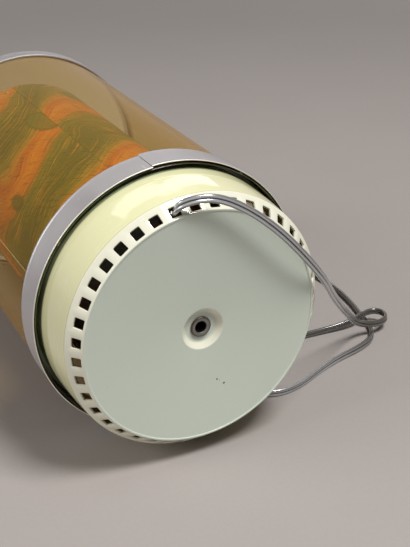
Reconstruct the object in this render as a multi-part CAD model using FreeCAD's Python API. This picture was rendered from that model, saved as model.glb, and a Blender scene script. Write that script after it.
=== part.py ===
import FreeCAD, Part

import math
import os

# A motion lamp: a bulb in a vented base turns a printed drum with its rising warm air, and an
# amber film shade stands round the drum. It is modelled standing, with its spindle on Z and
# the underside at height 0, and is laid on its side at the end, as it rests in the picture:
# on the two metal bands of its shade, with the underside towards -Y and its cord on the table.
# All sizes are in millimetres.

# Overall sizes
LENGTH = 278.0              # underside to the far edge of the top band
SHADE_R = 77.3              # outside of the amber film
PAN_H = 50.0                # height of the seat that carries the shade

# Across the lamp: how far each round face stands from the outside of the film
BAND_STAND = 1.4            # both metal bands, on which the lamp lies
COLLAR_INSET = 3.1          # top of the pan's collar
COLLAR_FLARE = 1.7          # the collar widens by this much as it rises
CHAMFER_W = 6.6             # width of the vented chamfer under the collar
DRUM_INSET = 20.8           # printed drum
BAIL_INSET = 37.3           # legs of the wire over the bulb

# Along the lamp: how far each edge stands from the seat or from the far edge
FILM_DROP = 12.8            # film's lower edge below the seat
BAND_DROP = 11.6            # lower edge of the bottom band at the start of its strip
DRUM_LIFT = 8.0             # drum's open end over the seat
DRUM_SHORT = 5.0            # drum's fan end below the far edge

# Base pan
WALL = 2.0                  # moulded wall
FOOT_RIM_W = 0.9            # narrow rim that the lamp stands on
FOOT_RIM_H = 0.4
CHAMFER_H = 7.8             # height of the vented chamfer
SEAT_T = 2.2
SEAT_CLEARANCE = 0.4        # between the seat and the inside of the film
RECESS_R = 11.0             # dimple round the centre fixing
RECESS_FLAT_R = 8.3
RECESS_DEPTH = 3.0
RIB_COUNT = 8
RIB_T = 1.6
RIB_TOP = 7.0
RIB_IN_R = 16.0
RIB_ROOT = 0.5              # depth of ribs and bosses in the floor they grow from

# Vents in the chamfer
VENT_COUNT = 40
VENT_SIZE = 5.6
VENT_PLACE = 0.4            # share of the chamfer's slope from the foot to a vent's middle
VENT_PHASE = 2.5            # angle of the first vent from the side that lies uppermost
CORD_VENT = 11.5            # angle of the vent that the cord leaves by

# Centre fixing and lamp holder
STUD_R = 5.1
STUD_WALL = 2.1
STUD_HEAD_LIP = 0.7
STUD_HEAD_T = 1.0
STUD_TOP = 21.0
STUD_CLEARANCE = 0.1
WASHER_W = 3.9
WASHER_T = 0.8
WASHER_TEETH = 12
NUT_W = 1.9                 # from the stud to a flat
NUT_T = 4.0
HOLDER_H = 38.0
HOLDER_SKIRT_W = 4.6        # from the cavity to the skirt's outside
HOLDER_NECK_W = 1.1
CAP_ROOM = 1.5              # between the bulb's cap and the cavity, for the screw shell
HOLDER_FLOOR = 14.0         # height of the cavity's floor over the holder's foot
TERMINAL_R = 3.0

# Bulb
CAP_R = 12.9                # rolled rims of the cap
CAP_H = 24.0
CAP_WALL = 0.35
CAP_LIP = 0.7               # rolled rims stand out this far from the cap's wall
BULB_R = 30.0
NECK_CEMENT = 0.25          # between the glass neck and the cap
BULB_H = 84.0               # from the cap's rim to the crown of the glass
GLASS_T = 0.7
STEM_R = 2.6                # glass stem where the wires leave it
WIRE_R = 0.3
HOOKS = [(0, 11.0), (60, 9.0), (120, 9.0), (180, 11.0)]  # angle and reach of each wire's end

# Spindle
BAIL_WIRE = 2.6
BAIL_BEND_R = 14.0
BAIL_BOSS_R = 4.2
BAIL_SINK = 5.0             # depth of a leg in its boss
NEEDLE_R = 0.8
NEEDLE_HOLDER_R = 3.2
NEEDLE_HOLDER_H = 9.0
NEEDLE_OUT = 11.0           # free length of the needle over its holder
NEEDLE_POINT = 2.5
PIVOT_CLEARANCE = 0.06      # radial, needle in its cup

# Drum
FILM_T = 0.5
HOOP_T = 0.6
HOOP_H = 6.0
FAN_DROP = 3.0              # fan plate below the drum's end
FAN_T = 0.6
FAN_HUB_R = 13.0
FAN_RIM_W = 7.0
VANE_COUNT = 16
VANE_PHASE = 11.25
VANE_TILT = 32.0
VANE_CHORD = 9.0            # at the rim
VANE_ROOT_W = 3.8           # at the hub
VANE_ROOT = 0.6             # each end runs this far into the hub or the rim
CUP_R = 4.5
CUP_H = 7.0
CUP_FLANGE_W = 3.0
CUP_FLANGE_T = 1.0
CUP_DOME = 1.8
RIVET_R = 1.6
RIVET_HEAD_T = 0.8
RIVET_COUNT = 6

# Shade
BAND_W = 18.6
BAND_STEP = 2.0             # the strip's far end has drifted down by this much
BAND_JOINT = 7.0            # angle of the strip's butt joint
BAND_GAP = 0.4
TOP_BAND_W = 11.5
TOP_BAND_T = 0.7
SEAT_HOOP_W = 8.0
FIT = 0.08                  # between parts pressed or glued together on one round face

# Cord
CORD_D = 4.6
COIL_GAP = 0.6              # between neighbouring turns
COIL_TURNS = 3              # in each layer
COIL_OUTER_R = 34.0         # centreline of the outermost turn
COIL_AT = (125.0, 71.0)

# Plug
PLUG_AT = (90.0, 36.0, 6.5)  # where the cord enters the plug
PLUG_L = 34.0
PLUG_TAIL = 14.0            # tapered strain relief
PLUG_TAIL_R = 3.4
PLUG_NECK_R = 4.8
PLUG_SHOULDER = 8.0
PLUG_WAIST = 1.6            # finger hollow in each side
PLUG_W = 22.0
PLUG_T = 13.0
PLUG_ROUND = 2.4
BLADE_L = 16.0
BLADE_W = 6.4
BLADE_T = 1.5
BLADE_SPACING = 12.7

UP = FreeCAD.Vector(0, 0, 1)
ORIGIN = FreeCAD.Vector(0, 0, 0)
os.makedirs("parts", exist_ok=True)


def vec(x, y, z):
    return FreeCAD.Vector(x, y, z)


def dial(angle, r, h):
    """A point at radius r and height h, angle degrees from the side that lies uppermost."""
    a = math.radians(angle)
    return vec(-r * math.sin(a), -r * math.cos(a), h)


def outline(start, *steps):
    """A closed outline of (r, h) points. A pair of points in one step is an arc: middle, end."""
    edges = []
    here = vec(start[0], 0, start[1])
    for step in steps + (start,):
        if isinstance(step[0], tuple):
            middle, end = (vec(r, 0, h) for r, h in step)
            edges.append(Part.Arc(here, middle, end).toShape())
        else:
            end = vec(step[0], 0, step[1])
            edges.append(Part.LineSegment(here, end).toShape())
        here = end
    return Part.Face(Part.Wire(edges))


def turned(start, *steps):
    """The solid that the outline sweeps round the spindle."""
    return outline(start, *steps).revolve(ORIGIN, UP, 360)


def tube(r_in, r_out, h_low, h_high):
    return turned((r_in, h_low), (r_out, h_low), (r_out, h_high), (r_in, h_high))


def crown(r, h, rise):
    """The step that closes an outline on the spindle with a spherical cap."""
    ball_r = (r * r + rise * rise) / (2 * rise)
    drop = ball_r - math.sqrt(ball_r * ball_r - r * r / 4)
    return (r / 2, h + rise - drop), (0, h + rise)


def ring_of(shape, count, phase=0.0):
    """Copies of a shape, evenly spaced round the spindle."""
    copies = []
    for k in range(count):
        copy = shape.copy()
        copy.rotate(ORIGIN, UP, phase + k * 360.0 / count)
        copies.append(copy)
    return copies


def laid(shape):
    """From standing on the underside to lying on the bands, centred over the table."""
    shape = shape.copy()
    shape.rotate(ORIGIN, vec(1, 0, 0), -90)
    shape.translate(vec(0, -LENGTH / 2, BAND_R))
    return shape


def save(name, shape):
    shape.exportStep("parts/" + name + ".step")
    print(name, len(shape.Solids), "solids", round(shape.Volume / 1000, 3), "cm3", shape.isValid())


# Radii that follow from the sizes above
BAND_R = SHADE_R + BAND_STAND
DRUM_R = SHADE_R - DRUM_INSET
BAIL_R = SHADE_R - BAIL_INSET
COLLAR_TOP_R = SHADE_R - COLLAR_INSET
COLLAR_LOW_R = COLLAR_TOP_R - COLLAR_FLARE
FOOT_R = COLLAR_LOW_R - CHAMFER_W
UNDERSIDE_R = FOOT_R - FOOT_RIM_W
FILM_IN_R = SHADE_R - FILM_T
SEAT_R = FILM_IN_R - SEAT_CLEARANCE
STUD_HEAD_R = STUD_R + STUD_HEAD_LIP
CUP_FLANGE_R = CUP_R + CUP_FLANGE_W
HOLDER_CAVITY_R = CAP_R + CAP_ROOM
HOLDER_NECK_R = HOLDER_CAVITY_R + HOLDER_NECK_W
HOLDER_R = HOLDER_CAVITY_R + HOLDER_SKIRT_W
CAP_BORE_R = CAP_R - CAP_LIP - CAP_WALL
BULB_NECK_R = CAP_BORE_R - NECK_CEMENT

# Heights that follow from the sizes above
FLOOR_TOP = FOOT_RIM_H + WALL
RECESS_TOP = FOOT_RIM_H + RECESS_DEPTH
DIMPLE_TOP = RECESS_TOP + WALL
NUT_LOW = DIMPLE_TOP + WASHER_T
HOLDER_LOW = NUT_LOW + NUT_T
CAVITY_FLOOR = HOLDER_LOW + HOLDER_FLOOR
CAP_LOW = CAVITY_FLOOR + 3.2
CAP_TOP = CAP_LOW + CAP_H
FILM_LOW = PAN_H - FILM_DROP
BAND_LOW = PAN_H - BAND_DROP
DRUM_LOW = PAN_H + DRUM_LIFT
DRUM_TOP = LENGTH - DRUM_SHORT
FAN_H = DRUM_TOP - FAN_DROP
CUP_LOW = FAN_H - CUP_H
NEEDLE_TIP = CUP_LOW + CUP_H - 1.6
BAIL_TOP = NEEDLE_TIP - NEEDLE_OUT - NEEDLE_HOLDER_H + BAIL_WIRE


def base_pan():
    """Moulded pan: grey underside, vented chamfer, flared collar and a turned-out seat."""
    bore_r = STUD_R + STUD_CLEARANCE
    pan = turned(
        (bore_r, RECESS_TOP),
        (RECESS_FLAT_R, RECESS_TOP),
        ((RECESS_FLAT_R + 1.6, RECESS_TOP - 0.9), (RECESS_R, FOOT_RIM_H)),
        (UNDERSIDE_R, FOOT_RIM_H),
        (UNDERSIDE_R, 0),
        (FOOT_R, 0),
        (COLLAR_LOW_R, CHAMFER_H),
        (COLLAR_TOP_R, PAN_H - SEAT_T),
        (SEAT_R, PAN_H - SEAT_T),
        (SEAT_R, PAN_H),
        (COLLAR_TOP_R - WALL, PAN_H),
        (COLLAR_LOW_R - WALL, CHAMFER_H + 0.8),
        (UNDERSIDE_R, FLOOR_TOP),
        (RECESS_R + WALL, FLOOR_TOP),
        (RECESS_FLAT_R + WALL, DIMPLE_TOP),
        (bore_r, DIMPLE_TOP),
    )
    root = FLOOR_TOP - RIB_ROOT
    rib = Part.makeBox(UNDERSIDE_R - RIB_IN_R - 3, RIB_T, RIB_TOP - root, vec(RIB_IN_R, -RIB_T / 2, root))
    ribs = ring_of(rib, RIB_COUNT, 22.5)
    boss = Part.makeCylinder(BAIL_BOSS_R, RIB_TOP + BAIL_SINK - root, vec(BAIL_R, 0, root))
    pan = pan.fuse(ribs + ring_of(boss, 2))
    hole = Part.makeCylinder(BAIL_WIRE / 2 + FIT, BAIL_SINK + 1, vec(BAIL_R, 0, RIB_TOP))
    slope = math.degrees(math.atan2(CHAMFER_H, CHAMFER_W))
    vent = Part.makeBox(VENT_SIZE, VENT_SIZE, 3 * WALL)
    vent.translate(vec(VENT_SIZE, VENT_SIZE, 3 * WALL) * -0.5)
    vent.rotate(ORIGIN, vec(0, 1, 0), -slope)
    vent.translate(vec(FOOT_R + VENT_PLACE * CHAMFER_W, 0, VENT_PLACE * CHAMFER_H))
    vent.rotate(ORIGIN, UP, -90 - VENT_PHASE)
    return pan.cut(ring_of(hole, 2) + ring_of(vent, VENT_COUNT)).removeSplitter()


def centre_stud():
    """Hollow stud whose rolled head shows in the dimple."""
    head_low = RECESS_TOP - STUD_HEAD_T
    bore_r = STUD_R - STUD_WALL
    return turned(
        (bore_r, head_low),
        (STUD_HEAD_R - 0.4, head_low),
        (STUD_HEAD_R, head_low + 0.4),
        (STUD_HEAD_R, RECESS_TOP),
        (STUD_R, RECESS_TOP),
        (STUD_R, STUD_TOP),
        (bore_r, STUD_TOP),
    )


def lock_nut():
    corner = (STUD_R + NUT_W) / math.cos(math.radians(30))
    points = [dial(60 * k, corner, 0) for k in range(7)]
    nut = Part.Face(Part.makePolygon(points)).extrude(UP * NUT_T)
    nut = nut.cut(Part.makeCylinder(STUD_R + STUD_CLEARANCE, NUT_T))
    nut.translate(UP * NUT_LOW)
    return nut


def lock_washer():
    """Toothed washer between the dimple and the nut."""
    washer_r = STUD_R + WASHER_W
    washer = tube(STUD_R + STUD_CLEARANCE, washer_r, DIMPLE_TOP, NUT_LOW)
    notch = Part.makeBox(2.0, 1.2, 2 * WASHER_T, vec(washer_r - 1.6, -0.6, DIMPLE_TOP - WASHER_T / 2))
    return washer.cut(ring_of(notch, WASHER_TEETH))


def lamp_holder():
    """Moulded holder with a wide skirt, screwed down on the stud."""
    body = turned(
        (STUD_R + STUD_CLEARANCE, HOLDER_LOW),
        (HOLDER_R - 2, HOLDER_LOW),
        (HOLDER_R, HOLDER_LOW + 2),
        (HOLDER_R, HOLDER_LOW + 12),
        ((HOLDER_R - 0.8, HOLDER_LOW + 14), (HOLDER_NECK_R + 1, HOLDER_LOW + 16)),
        (HOLDER_NECK_R + 0.6, HOLDER_LOW + HOLDER_H - 2),
        (HOLDER_NECK_R + 0.2, HOLDER_LOW + HOLDER_H),
        (HOLDER_CAVITY_R, HOLDER_LOW + HOLDER_H),
        (HOLDER_CAVITY_R, CAVITY_FLOOR),
        (2.0, CAVITY_FLOOR),
        (2.0, STUD_TOP + 0.4),
        (STUD_R + STUD_CLEARANCE, STUD_TOP + 0.4),
    )
    hole = Part.makeCylinder(CORD_D / 2 + 0.4, 6, dial(CORD_VENT, HOLDER_R - 5, HOLDER_LOW + 6),
                             dial(CORD_VENT, 1, 0))
    seat = Part.makeCylinder(TERMINAL_R + 0.3, 2, vec(HOLDER_R - 1.6, 0, HOLDER_LOW + 7), vec(1, 0, 0))
    return body.cut([hole] + ring_of(seat, 2))


def terminal_screws():
    """Two slotted screws in the holder's skirt."""
    screw = Part.makeCylinder(TERMINAL_R, 1.4, vec(HOLDER_R - 1.6, 0, HOLDER_LOW + 7), vec(1, 0, 0))
    slot = Part.makeBox(0.6, 2 * TERMINAL_R, 0.8, vec(HOLDER_R - 0.8, -TERMINAL_R, HOLDER_LOW + 6.6))
    return Part.makeCompound(ring_of(screw.cut(slot), 2))


def holder_shell():
    """Brass screw shell that lines the holder's cavity."""
    low = CAVITY_FLOOR + 1.2
    bore = CAP_R + 0.25
    return turned(
        (6.0, low - 1.2),
        (HOLDER_CAVITY_R - FIT, low - 1.2),
        (HOLDER_CAVITY_R - FIT, HOLDER_LOW + HOLDER_H - 1),
        (bore, HOLDER_LOW + HOLDER_H - 1),
        (bore, low - 0.8),
        (6.0, low - 0.8),
    )


def holder_contact():
    """Springy centre tongue under the bulb's tip."""
    low = CAVITY_FLOOR
    strip = [vec(-4, 0, low), vec(-4, 0, low + 0.5), vec(-1.5, 0, low + 0.5), vec(2.2, 0, CAP_LOW - 1.9),
             vec(4.6, 0, CAP_LOW - 1.9), vec(4.6, 0, CAP_LOW - 2.4), vec(2.4, 0, CAP_LOW - 2.4),
             vec(-1.2, 0, low), vec(-4, 0, low)]
    tongue = Part.Face(Part.makePolygon(strip)).extrude(vec(0, 4, 0))
    tongue.translate(vec(0, -2, 0))
    return tongue


def bulb_glass():
    """Pear-shaped envelope, open at the neck, where the cap holds it."""
    low = CAP_TOP - 8
    centre = CAP_TOP + BULB_H - BULB_R
    inner_r = BULB_R - GLASS_T
    neck = BULB_NECK_R - GLASS_T
    lean = math.radians(35)
    shoulder = (BULB_R * math.cos(lean), centre - BULB_R * math.sin(lean))
    shoulder_in = (inner_r * math.cos(lean), centre - inner_r * math.sin(lean))
    waist = ((BULB_NECK_R + 3.4, CAP_TOP + 17), (shoulder[0], shoulder[1]))
    waist_in = ((BULB_NECK_R + 3.4 - GLASS_T, CAP_TOP + 17), (neck, CAP_TOP + 4))
    top = math.radians(50)
    crown = ((BULB_R * math.cos(top), centre + BULB_R * math.sin(top)), (0, centre + BULB_R))
    crown_in = ((inner_r * math.cos(top), centre + inner_r * math.sin(top)), (inner_r, centre))
    low_arc = math.radians(17)
    return turned(
        (neck, low),
        (BULB_NECK_R, low),
        (BULB_NECK_R, CAP_TOP + 4),
        waist,
        ((BULB_R * math.cos(low_arc), centre - BULB_R * math.sin(low_arc)), (BULB_R, centre)),
        crown,
        (0, centre + inner_r),
        crown_in,
        ((inner_r * math.cos(low_arc), centre - inner_r * math.sin(low_arc)), shoulder_in),
        waist_in,
    )


def bulb_cap():
    """Drawn sleeve with a rolled rim at each end, cemented on the glass."""
    bore = CAP_BORE_R
    sleeve_r = CAP_R - CAP_LIP
    return turned(
        (bore, CAP_LOW),
        (sleeve_r, CAP_LOW),
        ((CAP_R, CAP_LOW + 1.2), (sleeve_r, CAP_LOW + 2.4)),
        (sleeve_r, CAP_TOP - 2.4),
        ((CAP_R, CAP_TOP - 1.2), (sleeve_r, CAP_TOP)),
        (bore, CAP_TOP),
    )


def bulb_insulator():
    """Black glass cone between the cap and its tip."""
    bore = CAP_BORE_R - FIT
    return turned((0, CAP_LOW - 0.9), (3.4, CAP_LOW - 0.9), (bore, CAP_LOW), (bore, CAP_LOW + 2), (0, CAP_LOW + 2))


def bulb_tip():
    low = CAP_LOW - 1.8
    return turned((0, low), (2.0, low), (2.9, low + 0.9), (0, low + 0.9))


def bulb_stem():
    """Glass mount inside the neck: a flare, a tube and a pinch."""
    low = CAP_TOP - 6
    return turned(
        (0, low + 1),
        (4, low + 1),
        (BULB_NECK_R - GLASS_T - FIT, low),
        (BULB_NECK_R - GLASS_T - FIT, low + 0.9),
        (4, low + 5),
        (STEM_R, CAP_TOP + 18),
        (STEM_R, CAP_TOP + 30),
        (0, CAP_TOP + 31),
    )


def bulb_supports():
    """Two lead wires and two hooks that hold the filament's arc."""
    wires = []
    for angle, reach in HOOKS:
        foot = dial(angle, STEM_R + WIRE_R + FIT, CAP_TOP + 24)
        head = dial(angle, reach, CAP_TOP + 50)
        wires.append(Part.makeCylinder(WIRE_R, (head - foot).Length, foot, head - foot))
    return Part.makeCompound(wires)


def bulb_filament():
    """Filament strung from hook to hook."""
    r = WIRE_R + 0.05
    ends = [dial(angle, reach, CAP_TOP + 50.5) for angle, reach in HOOKS]
    spans = [Part.makeCylinder(r, (b - a).Length, a, b - a) for a, b in zip(ends, ends[1:])]
    knots = [Part.makeSphere(r, point) for point in ends[1:-1]]
    return spans[0].fuse(spans[1:] + knots)


def bail():
    """Stiff wire over the bulb: two legs in the pan's bosses and a bridge under the needle."""
    low = RIB_TOP
    r = BAIL_BEND_R
    bend = r * (1 - math.cos(math.radians(45)))
    path = Part.Wire([
        Part.LineSegment(vec(-BAIL_R, 0, low), vec(-BAIL_R, 0, BAIL_TOP - r)).toShape(),
        Part.Arc(vec(-BAIL_R, 0, BAIL_TOP - r), vec(-BAIL_R + bend, 0, BAIL_TOP - bend),
                 vec(-BAIL_R + r, 0, BAIL_TOP)).toShape(),
        Part.LineSegment(vec(-BAIL_R + r, 0, BAIL_TOP), vec(BAIL_R - r, 0, BAIL_TOP)).toShape(),
        Part.Arc(vec(BAIL_R - r, 0, BAIL_TOP), vec(BAIL_R - bend, 0, BAIL_TOP - bend),
                 vec(BAIL_R, 0, BAIL_TOP - r)).toShape(),
        Part.LineSegment(vec(BAIL_R, 0, BAIL_TOP - r), vec(BAIL_R, 0, low)).toShape(),
    ])
    section = Part.Wire([Part.makeCircle(BAIL_WIRE / 2, vec(-BAIL_R, 0, low), UP)])
    return path.makePipeShell([section], True, False)


def needle_holder():
    """Brass barrel pressed over the middle of the bail."""
    low = BAIL_TOP - BAIL_WIRE
    barrel = turned((0, low), (NEEDLE_HOLDER_R, low), (NEEDLE_HOLDER_R, low + NEEDLE_HOLDER_H - 2),
                    (NEEDLE_HOLDER_R - 1.2, low + NEEDLE_HOLDER_H), (0, low + NEEDLE_HOLDER_H))
    cross = Part.makeCylinder(BAIL_WIRE / 2 + FIT, 3 * NEEDLE_HOLDER_R,
                              vec(-1.5 * NEEDLE_HOLDER_R, 0, BAIL_TOP), vec(1, 0, 0))
    socket = Part.makeCylinder(NEEDLE_R + 0.02, 6, vec(0, 0, low + NEEDLE_HOLDER_H - 4))
    return barrel.cut([cross, socket])


def needle():
    """Steel needle on which the whole drum turns."""
    low = BAIL_TOP - BAIL_WIRE + NEEDLE_HOLDER_H - 4
    shoulder = NEEDLE_TIP - NEEDLE_POINT
    return turned((0, low), (NEEDLE_R, low), (NEEDLE_R, shoulder), (0.12, NEEDLE_TIP), (0, NEEDLE_TIP))


def drum_cup():
    """Bearing cup in the fan's hub: a guide bore, then a cone over the needle's point."""
    bore = NEEDLE_R + PIVOT_CLEARANCE
    flange_top = FAN_H + CUP_FLANGE_T
    return turned(
        (bore, CUP_LOW),
        (CUP_R - 0.6, CUP_LOW),
        (CUP_R, CUP_LOW + 0.6),
        (CUP_R, FAN_H),
        (CUP_FLANGE_R, FAN_H),
        (CUP_FLANGE_R, flange_top),
        crown(CUP_FLANGE_R, flange_top, CUP_DOME),
        (0, NEEDLE_TIP + 0.4),
        (bore, NEEDLE_TIP - NEEDLE_POINT + 0.15),
    )


def drum_fan():
    """Stamped fan: a hub, a rim with a turned-down edge, and pitched vanes between them."""
    rim_r = DRUM_R - FILM_T - FIT
    rim_in = rim_r - FAN_RIM_W
    low = FAN_H - FAN_T
    hub = tube(CUP_R + FIT, FAN_HUB_R, low, FAN_H)
    rim = turned((rim_in, low), (rim_r - HOOP_T, low), (rim_r - HOOP_T, FAN_H - HOOP_H), (rim_r, FAN_H - HOOP_H),
                 (rim_r, FAN_H), (rim_in, FAN_H))
    span = rim_in - FAN_HUB_R + 2 * VANE_ROOT
    vane = Part.makeBox(span, VANE_CHORD, FAN_T, vec(FAN_HUB_R - VANE_ROOT, -VANE_CHORD / 2, -FAN_T / 2))
    root, tip = FAN_HUB_R - VANE_ROOT, rim_in + VANE_ROOT
    corners = [vec(root, -VANE_ROOT_W / 2, -1), vec(root, VANE_ROOT_W / 2, -1),
               vec(tip, VANE_CHORD / 2, -1), vec(tip, -VANE_CHORD / 2, -1)]
    taper = Part.Face(Part.makePolygon(corners + corners[:1])).extrude(UP * 2)
    vane = vane.common(taper)
    vane.rotate(ORIGIN, vec(1, 0, 0), VANE_TILT)
    vane.translate(UP * (FAN_H - FAN_T / 2))
    return hub.fuse([rim] + ring_of(vane, VANE_COUNT, VANE_PHASE)).removeSplitter()


def drum_sheet():
    return tube(DRUM_R - FILM_T, DRUM_R, DRUM_LOW, DRUM_TOP)


def drum_hoop():
    """Hoop that keeps the drum's open end round."""
    r = DRUM_R - FILM_T - FIT
    return turned((r - HOOP_T, DRUM_LOW), (r, DRUM_LOW), (r, DRUM_LOW + HOOP_H), (r - HOOP_T, DRUM_LOW + HOOP_H))


def drum_rivets():
    """Small rivets that pin the sheet to the fan's turned-down edge."""
    r_out = DRUM_R + RIVET_HEAD_T
    h = FAN_H - HOOP_H / 2
    rivet = Part.makeCylinder(RIVET_R, RIVET_HEAD_T - 0.02, vec(DRUM_R + 0.02, 0, h), vec(1, 0, 0))
    tip = Part.makeSphere(2.2, vec(r_out - 2.2, 0, h))
    return Part.makeCompound(ring_of(rivet.common(tip), RIVET_COUNT, 15.0))


def shade_film():
    return tube(FILM_IN_R, SHADE_R, FILM_LOW, LENGTH - 2 * TOP_BAND_T)


def bottom_band():
    """Strip bent once round the film. Its ends meet a little out of line."""
    r_in = SHADE_R + FIT
    mid_r = (r_in + BAND_R) / 2
    half = (BAND_R - r_in) / 2
    gap = math.degrees(BAND_GAP / mid_r)
    turn = 1 - gap / 360
    helix = Part.makeHelix(BAND_STEP, BAND_STEP * turn, mid_r)
    low = BAND_LOW - BAND_STEP
    corners = [vec(mid_r - half, 0, 0), vec(mid_r + half, 0, 0), vec(mid_r + half, 0, BAND_W),
               vec(mid_r - half, 0, BAND_W), vec(mid_r - half, 0, 0)]
    section = Part.makePolygon(corners)
    strip = Part.Wire(helix).makePipeShell([section], True, True)
    strip.translate(UP * low)
    strip.rotate(ORIGIN, UP, -90 - BAND_JOINT + gap / 2)
    return strip


def seat_hoop():
    """Angle hoop inside the film; its foot rests on the pan's seat."""
    r = FILM_IN_R - FIT
    return turned((r - 3.4, PAN_H), (r, PAN_H), (r, PAN_H + SEAT_HOOP_W), (r - HOOP_T, PAN_H + SEAT_HOOP_W),
                  (r - HOOP_T, PAN_H + HOOP_T), (r - 3.4, PAN_H + HOOP_T))


def top_band():
    """Rolled channel folded over the film's upper edge."""
    low = LENGTH - TOP_BAND_W
    inner = FILM_IN_R - FIT
    bead = BAND_R - TOP_BAND_T
    return turned(
        (SHADE_R + FIT, low),
        (BAND_R, low),
        (BAND_R, LENGTH - 1.0),
        ((BAND_R - 0.3, LENGTH - 0.3), (BAND_R - 1.0, LENGTH)),
        (inner - TOP_BAND_T + 0.5, LENGTH),
        (inner - TOP_BAND_T, LENGTH - 0.5),
        (inner - TOP_BAND_T, low + 4),
        (inner, low + 4),
        (inner, LENGTH - TOP_BAND_T - 0.4),
        (SHADE_R + FIT, LENGTH - TOP_BAND_T - 0.4),
    )


# The cord's points lie in the finished frame: z = 0 is the table, and the lamp lies over x = 0.
# From its vent it bows over the rim, drops to a tight loop, runs in under the shade, comes
# out again and passes under the loop to the coil.
FRONT_ROUTE = [
    (-13.5, -135.2, 145.2),
    (-14.4, -140.0, 150.2),
    (-9.0, -144.8, 154.4),
    (4.0, -146.8, 154.2),
    (22.0, -147.0, 144.0),
    (40.0, -147.2, 128.4),
    (56.5, -146.6, 110.0),
    (71.5, -141.0, 92.0),
    (89.0, -122.5, 71.5),
    (109.0, -104.0, 49.0),
    (128.0, -86.5, 29.5),
    (142.0, -75.0, 15.0),
    (152.5, -71.0, 8.8),
    (164.0, -73.0, 7.6),
    (175.5, -69.5, 7.6),
    (178.5, -61.5, 7.6),
    (173.0, -55.5, 7.6),
    (162.0, -57.5, 7.6),
    (148.0, -59.2, 4.8),
    (130.0, -56.6, 2.5),
    (106.0, -55.6, 2.3),
    (84.0, -57.5, 2.3),
    (66.0, -62.0, 2.3),
    (53.5, -73.0, 2.3),
    (49.5, -88.0, 2.3),
    (53.5, -100.5, 2.3),
    (65.0, -108.0, 2.3),
    (82.0, -106.0, 2.3),
    (102.0, -96.4, 2.3),
    (120.0, -89.8, 2.3),
    (138.0, -85.8, 2.3),
    (153.0, -79.5, 2.3),
    (161.0, -67.0, 2.3),
    (164.5, -50.0, 2.3),
    (169.0, -31.0, 2.3),
    (171.0, -10.0, 2.3),
    (169.5, 12.0, 2.3),
    (163.5, 34.0, 2.3),
]
INSIDE_ROUTE = [
    (-13.5, -135.2, 145.2),
    (-11.7, -125.6, 135.2),
    (-8.0, -122.6, 118.0),
    (-4.0, -122.8, 97.0),
]


def coil_turns():
    """Centreline of the coil: a spiral in on the table, a climb, and a spiral out on top."""
    pitch = CORD_D + COIL_GAP
    low = CORD_D / 2
    shrink = pitch / (2 * math.pi)
    steps = []
    spin = 2 * math.pi * COIL_TURNS
    climb = math.pi
    total = 2 * spin + climb
    for k in range(int(round(total / math.pi)) + 1):
        a = k * math.pi
        if a <= spin:
            r, dr, z, dz = COIL_OUTER_R - shrink * a, -shrink, low, 0.0
        elif a < spin + climb:
            part = (a - spin) / climb
            r = COIL_OUTER_R - shrink * spin - shrink * climb * part * (1 - part)
            dr = -shrink * (1 - 2 * part)
            z = low + pitch * (part - math.sin(2 * math.pi * part) / (2 * math.pi))
            dz = pitch * (1 - math.cos(2 * math.pi * part)) / climb
        else:
            r, dr, z, dz = COIL_OUTER_R - shrink * (total - a), shrink, low + pitch, 0.0
        steps.append((a, r, dr, z, dz))
    points = []
    for a, r, dr, z, dz in steps:
        # The coil starts on its +X side and turns towards +Y.
        c, s = math.cos(a), math.sin(a)
        place = vec(COIL_AT[0] + r * c, COIL_AT[1] + r * s, z)
        heading = vec(dr * c - r * s, dr * s + r * c, dz)
        points.append((place, heading.normalize()))
    return points


def biarc(start, start_dir, end, end_dir):
    """Two arcs that leave start along start_dir and reach end along end_dir."""
    span = end - start
    total = start_dir + end_dir
    a = 2 * (start_dir.dot(end_dir) - 1)
    b = -2 * span.dot(total)
    c = span.dot(span)
    reach = (-b - math.sqrt(b * b - 4 * a * c)) / (2 * a)
    if reach < 0:
        reach = (-b + math.sqrt(b * b - 4 * a * c)) / (2 * a)
    joint = (start + end + (start_dir - end_dir) * reach) * 0.5
    return [arc_from(start, start_dir, joint), arc_from(end, end_dir * -1, joint)]


def arc_from(start, heading, end):
    chord = end - start
    side = chord - heading * chord.dot(heading)
    side.normalize()
    radius = chord.dot(chord) / (2 * chord.dot(side))
    centre = start + side * radius
    middle = (start + end) * 0.5 - centre
    middle.normalize()
    return Part.Arc(start, centre + middle * radius, end).toShape()


def rounded(points, name):
    """Straight runs joined by tangent arcs, each as large as its two runs allow."""
    edges, radii = [], []
    here = points[0]
    for before, corner, after in zip(points, points[1:], points[2:]):
        back = before - corner
        ahead = after - corner
        shorter = min(back.Length, ahead.Length)
        back.normalize()
        ahead.normalize()
        turn = math.pi - back.getAngle(ahead)
        trim = 0.45 * shorter
        radii.append(trim / math.tan(turn / 2))
        first, last = corner + back * trim, corner + ahead * trim
        bisector = back + ahead
        bisector.normalize()
        depth = radii[-1] * (1 / math.cos(turn / 2) - 1)
        edges.append(Part.LineSegment(here, first).toShape())
        edges.append(Part.Arc(first, corner + bisector * depth, last).toShape())
        here = last
    edges.append(Part.LineSegment(here, points[-1]).toShape())
    wire = Part.Wire(edges)
    print(name, "length", round(wire.Length, 1), "radii", [round(r, 1) for r in radii])
    return wire


def swept(wire):
    """The cord's solid along a path, with its volume against section times length."""
    first = wire.OrderedEdges[0]
    start = first.valueAt(first.FirstParameter)
    heading = first.tangentAt(first.FirstParameter)
    section = Part.Wire([Part.makeCircle(CORD_D / 2, start, heading)])
    solid = wire.makePipeShell([section], True, False)
    plain = math.pi * CORD_D ** 2 / 4 * wire.Length
    print("volume over section times length", round(solid.Volume / plain, 5))
    return solid


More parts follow.
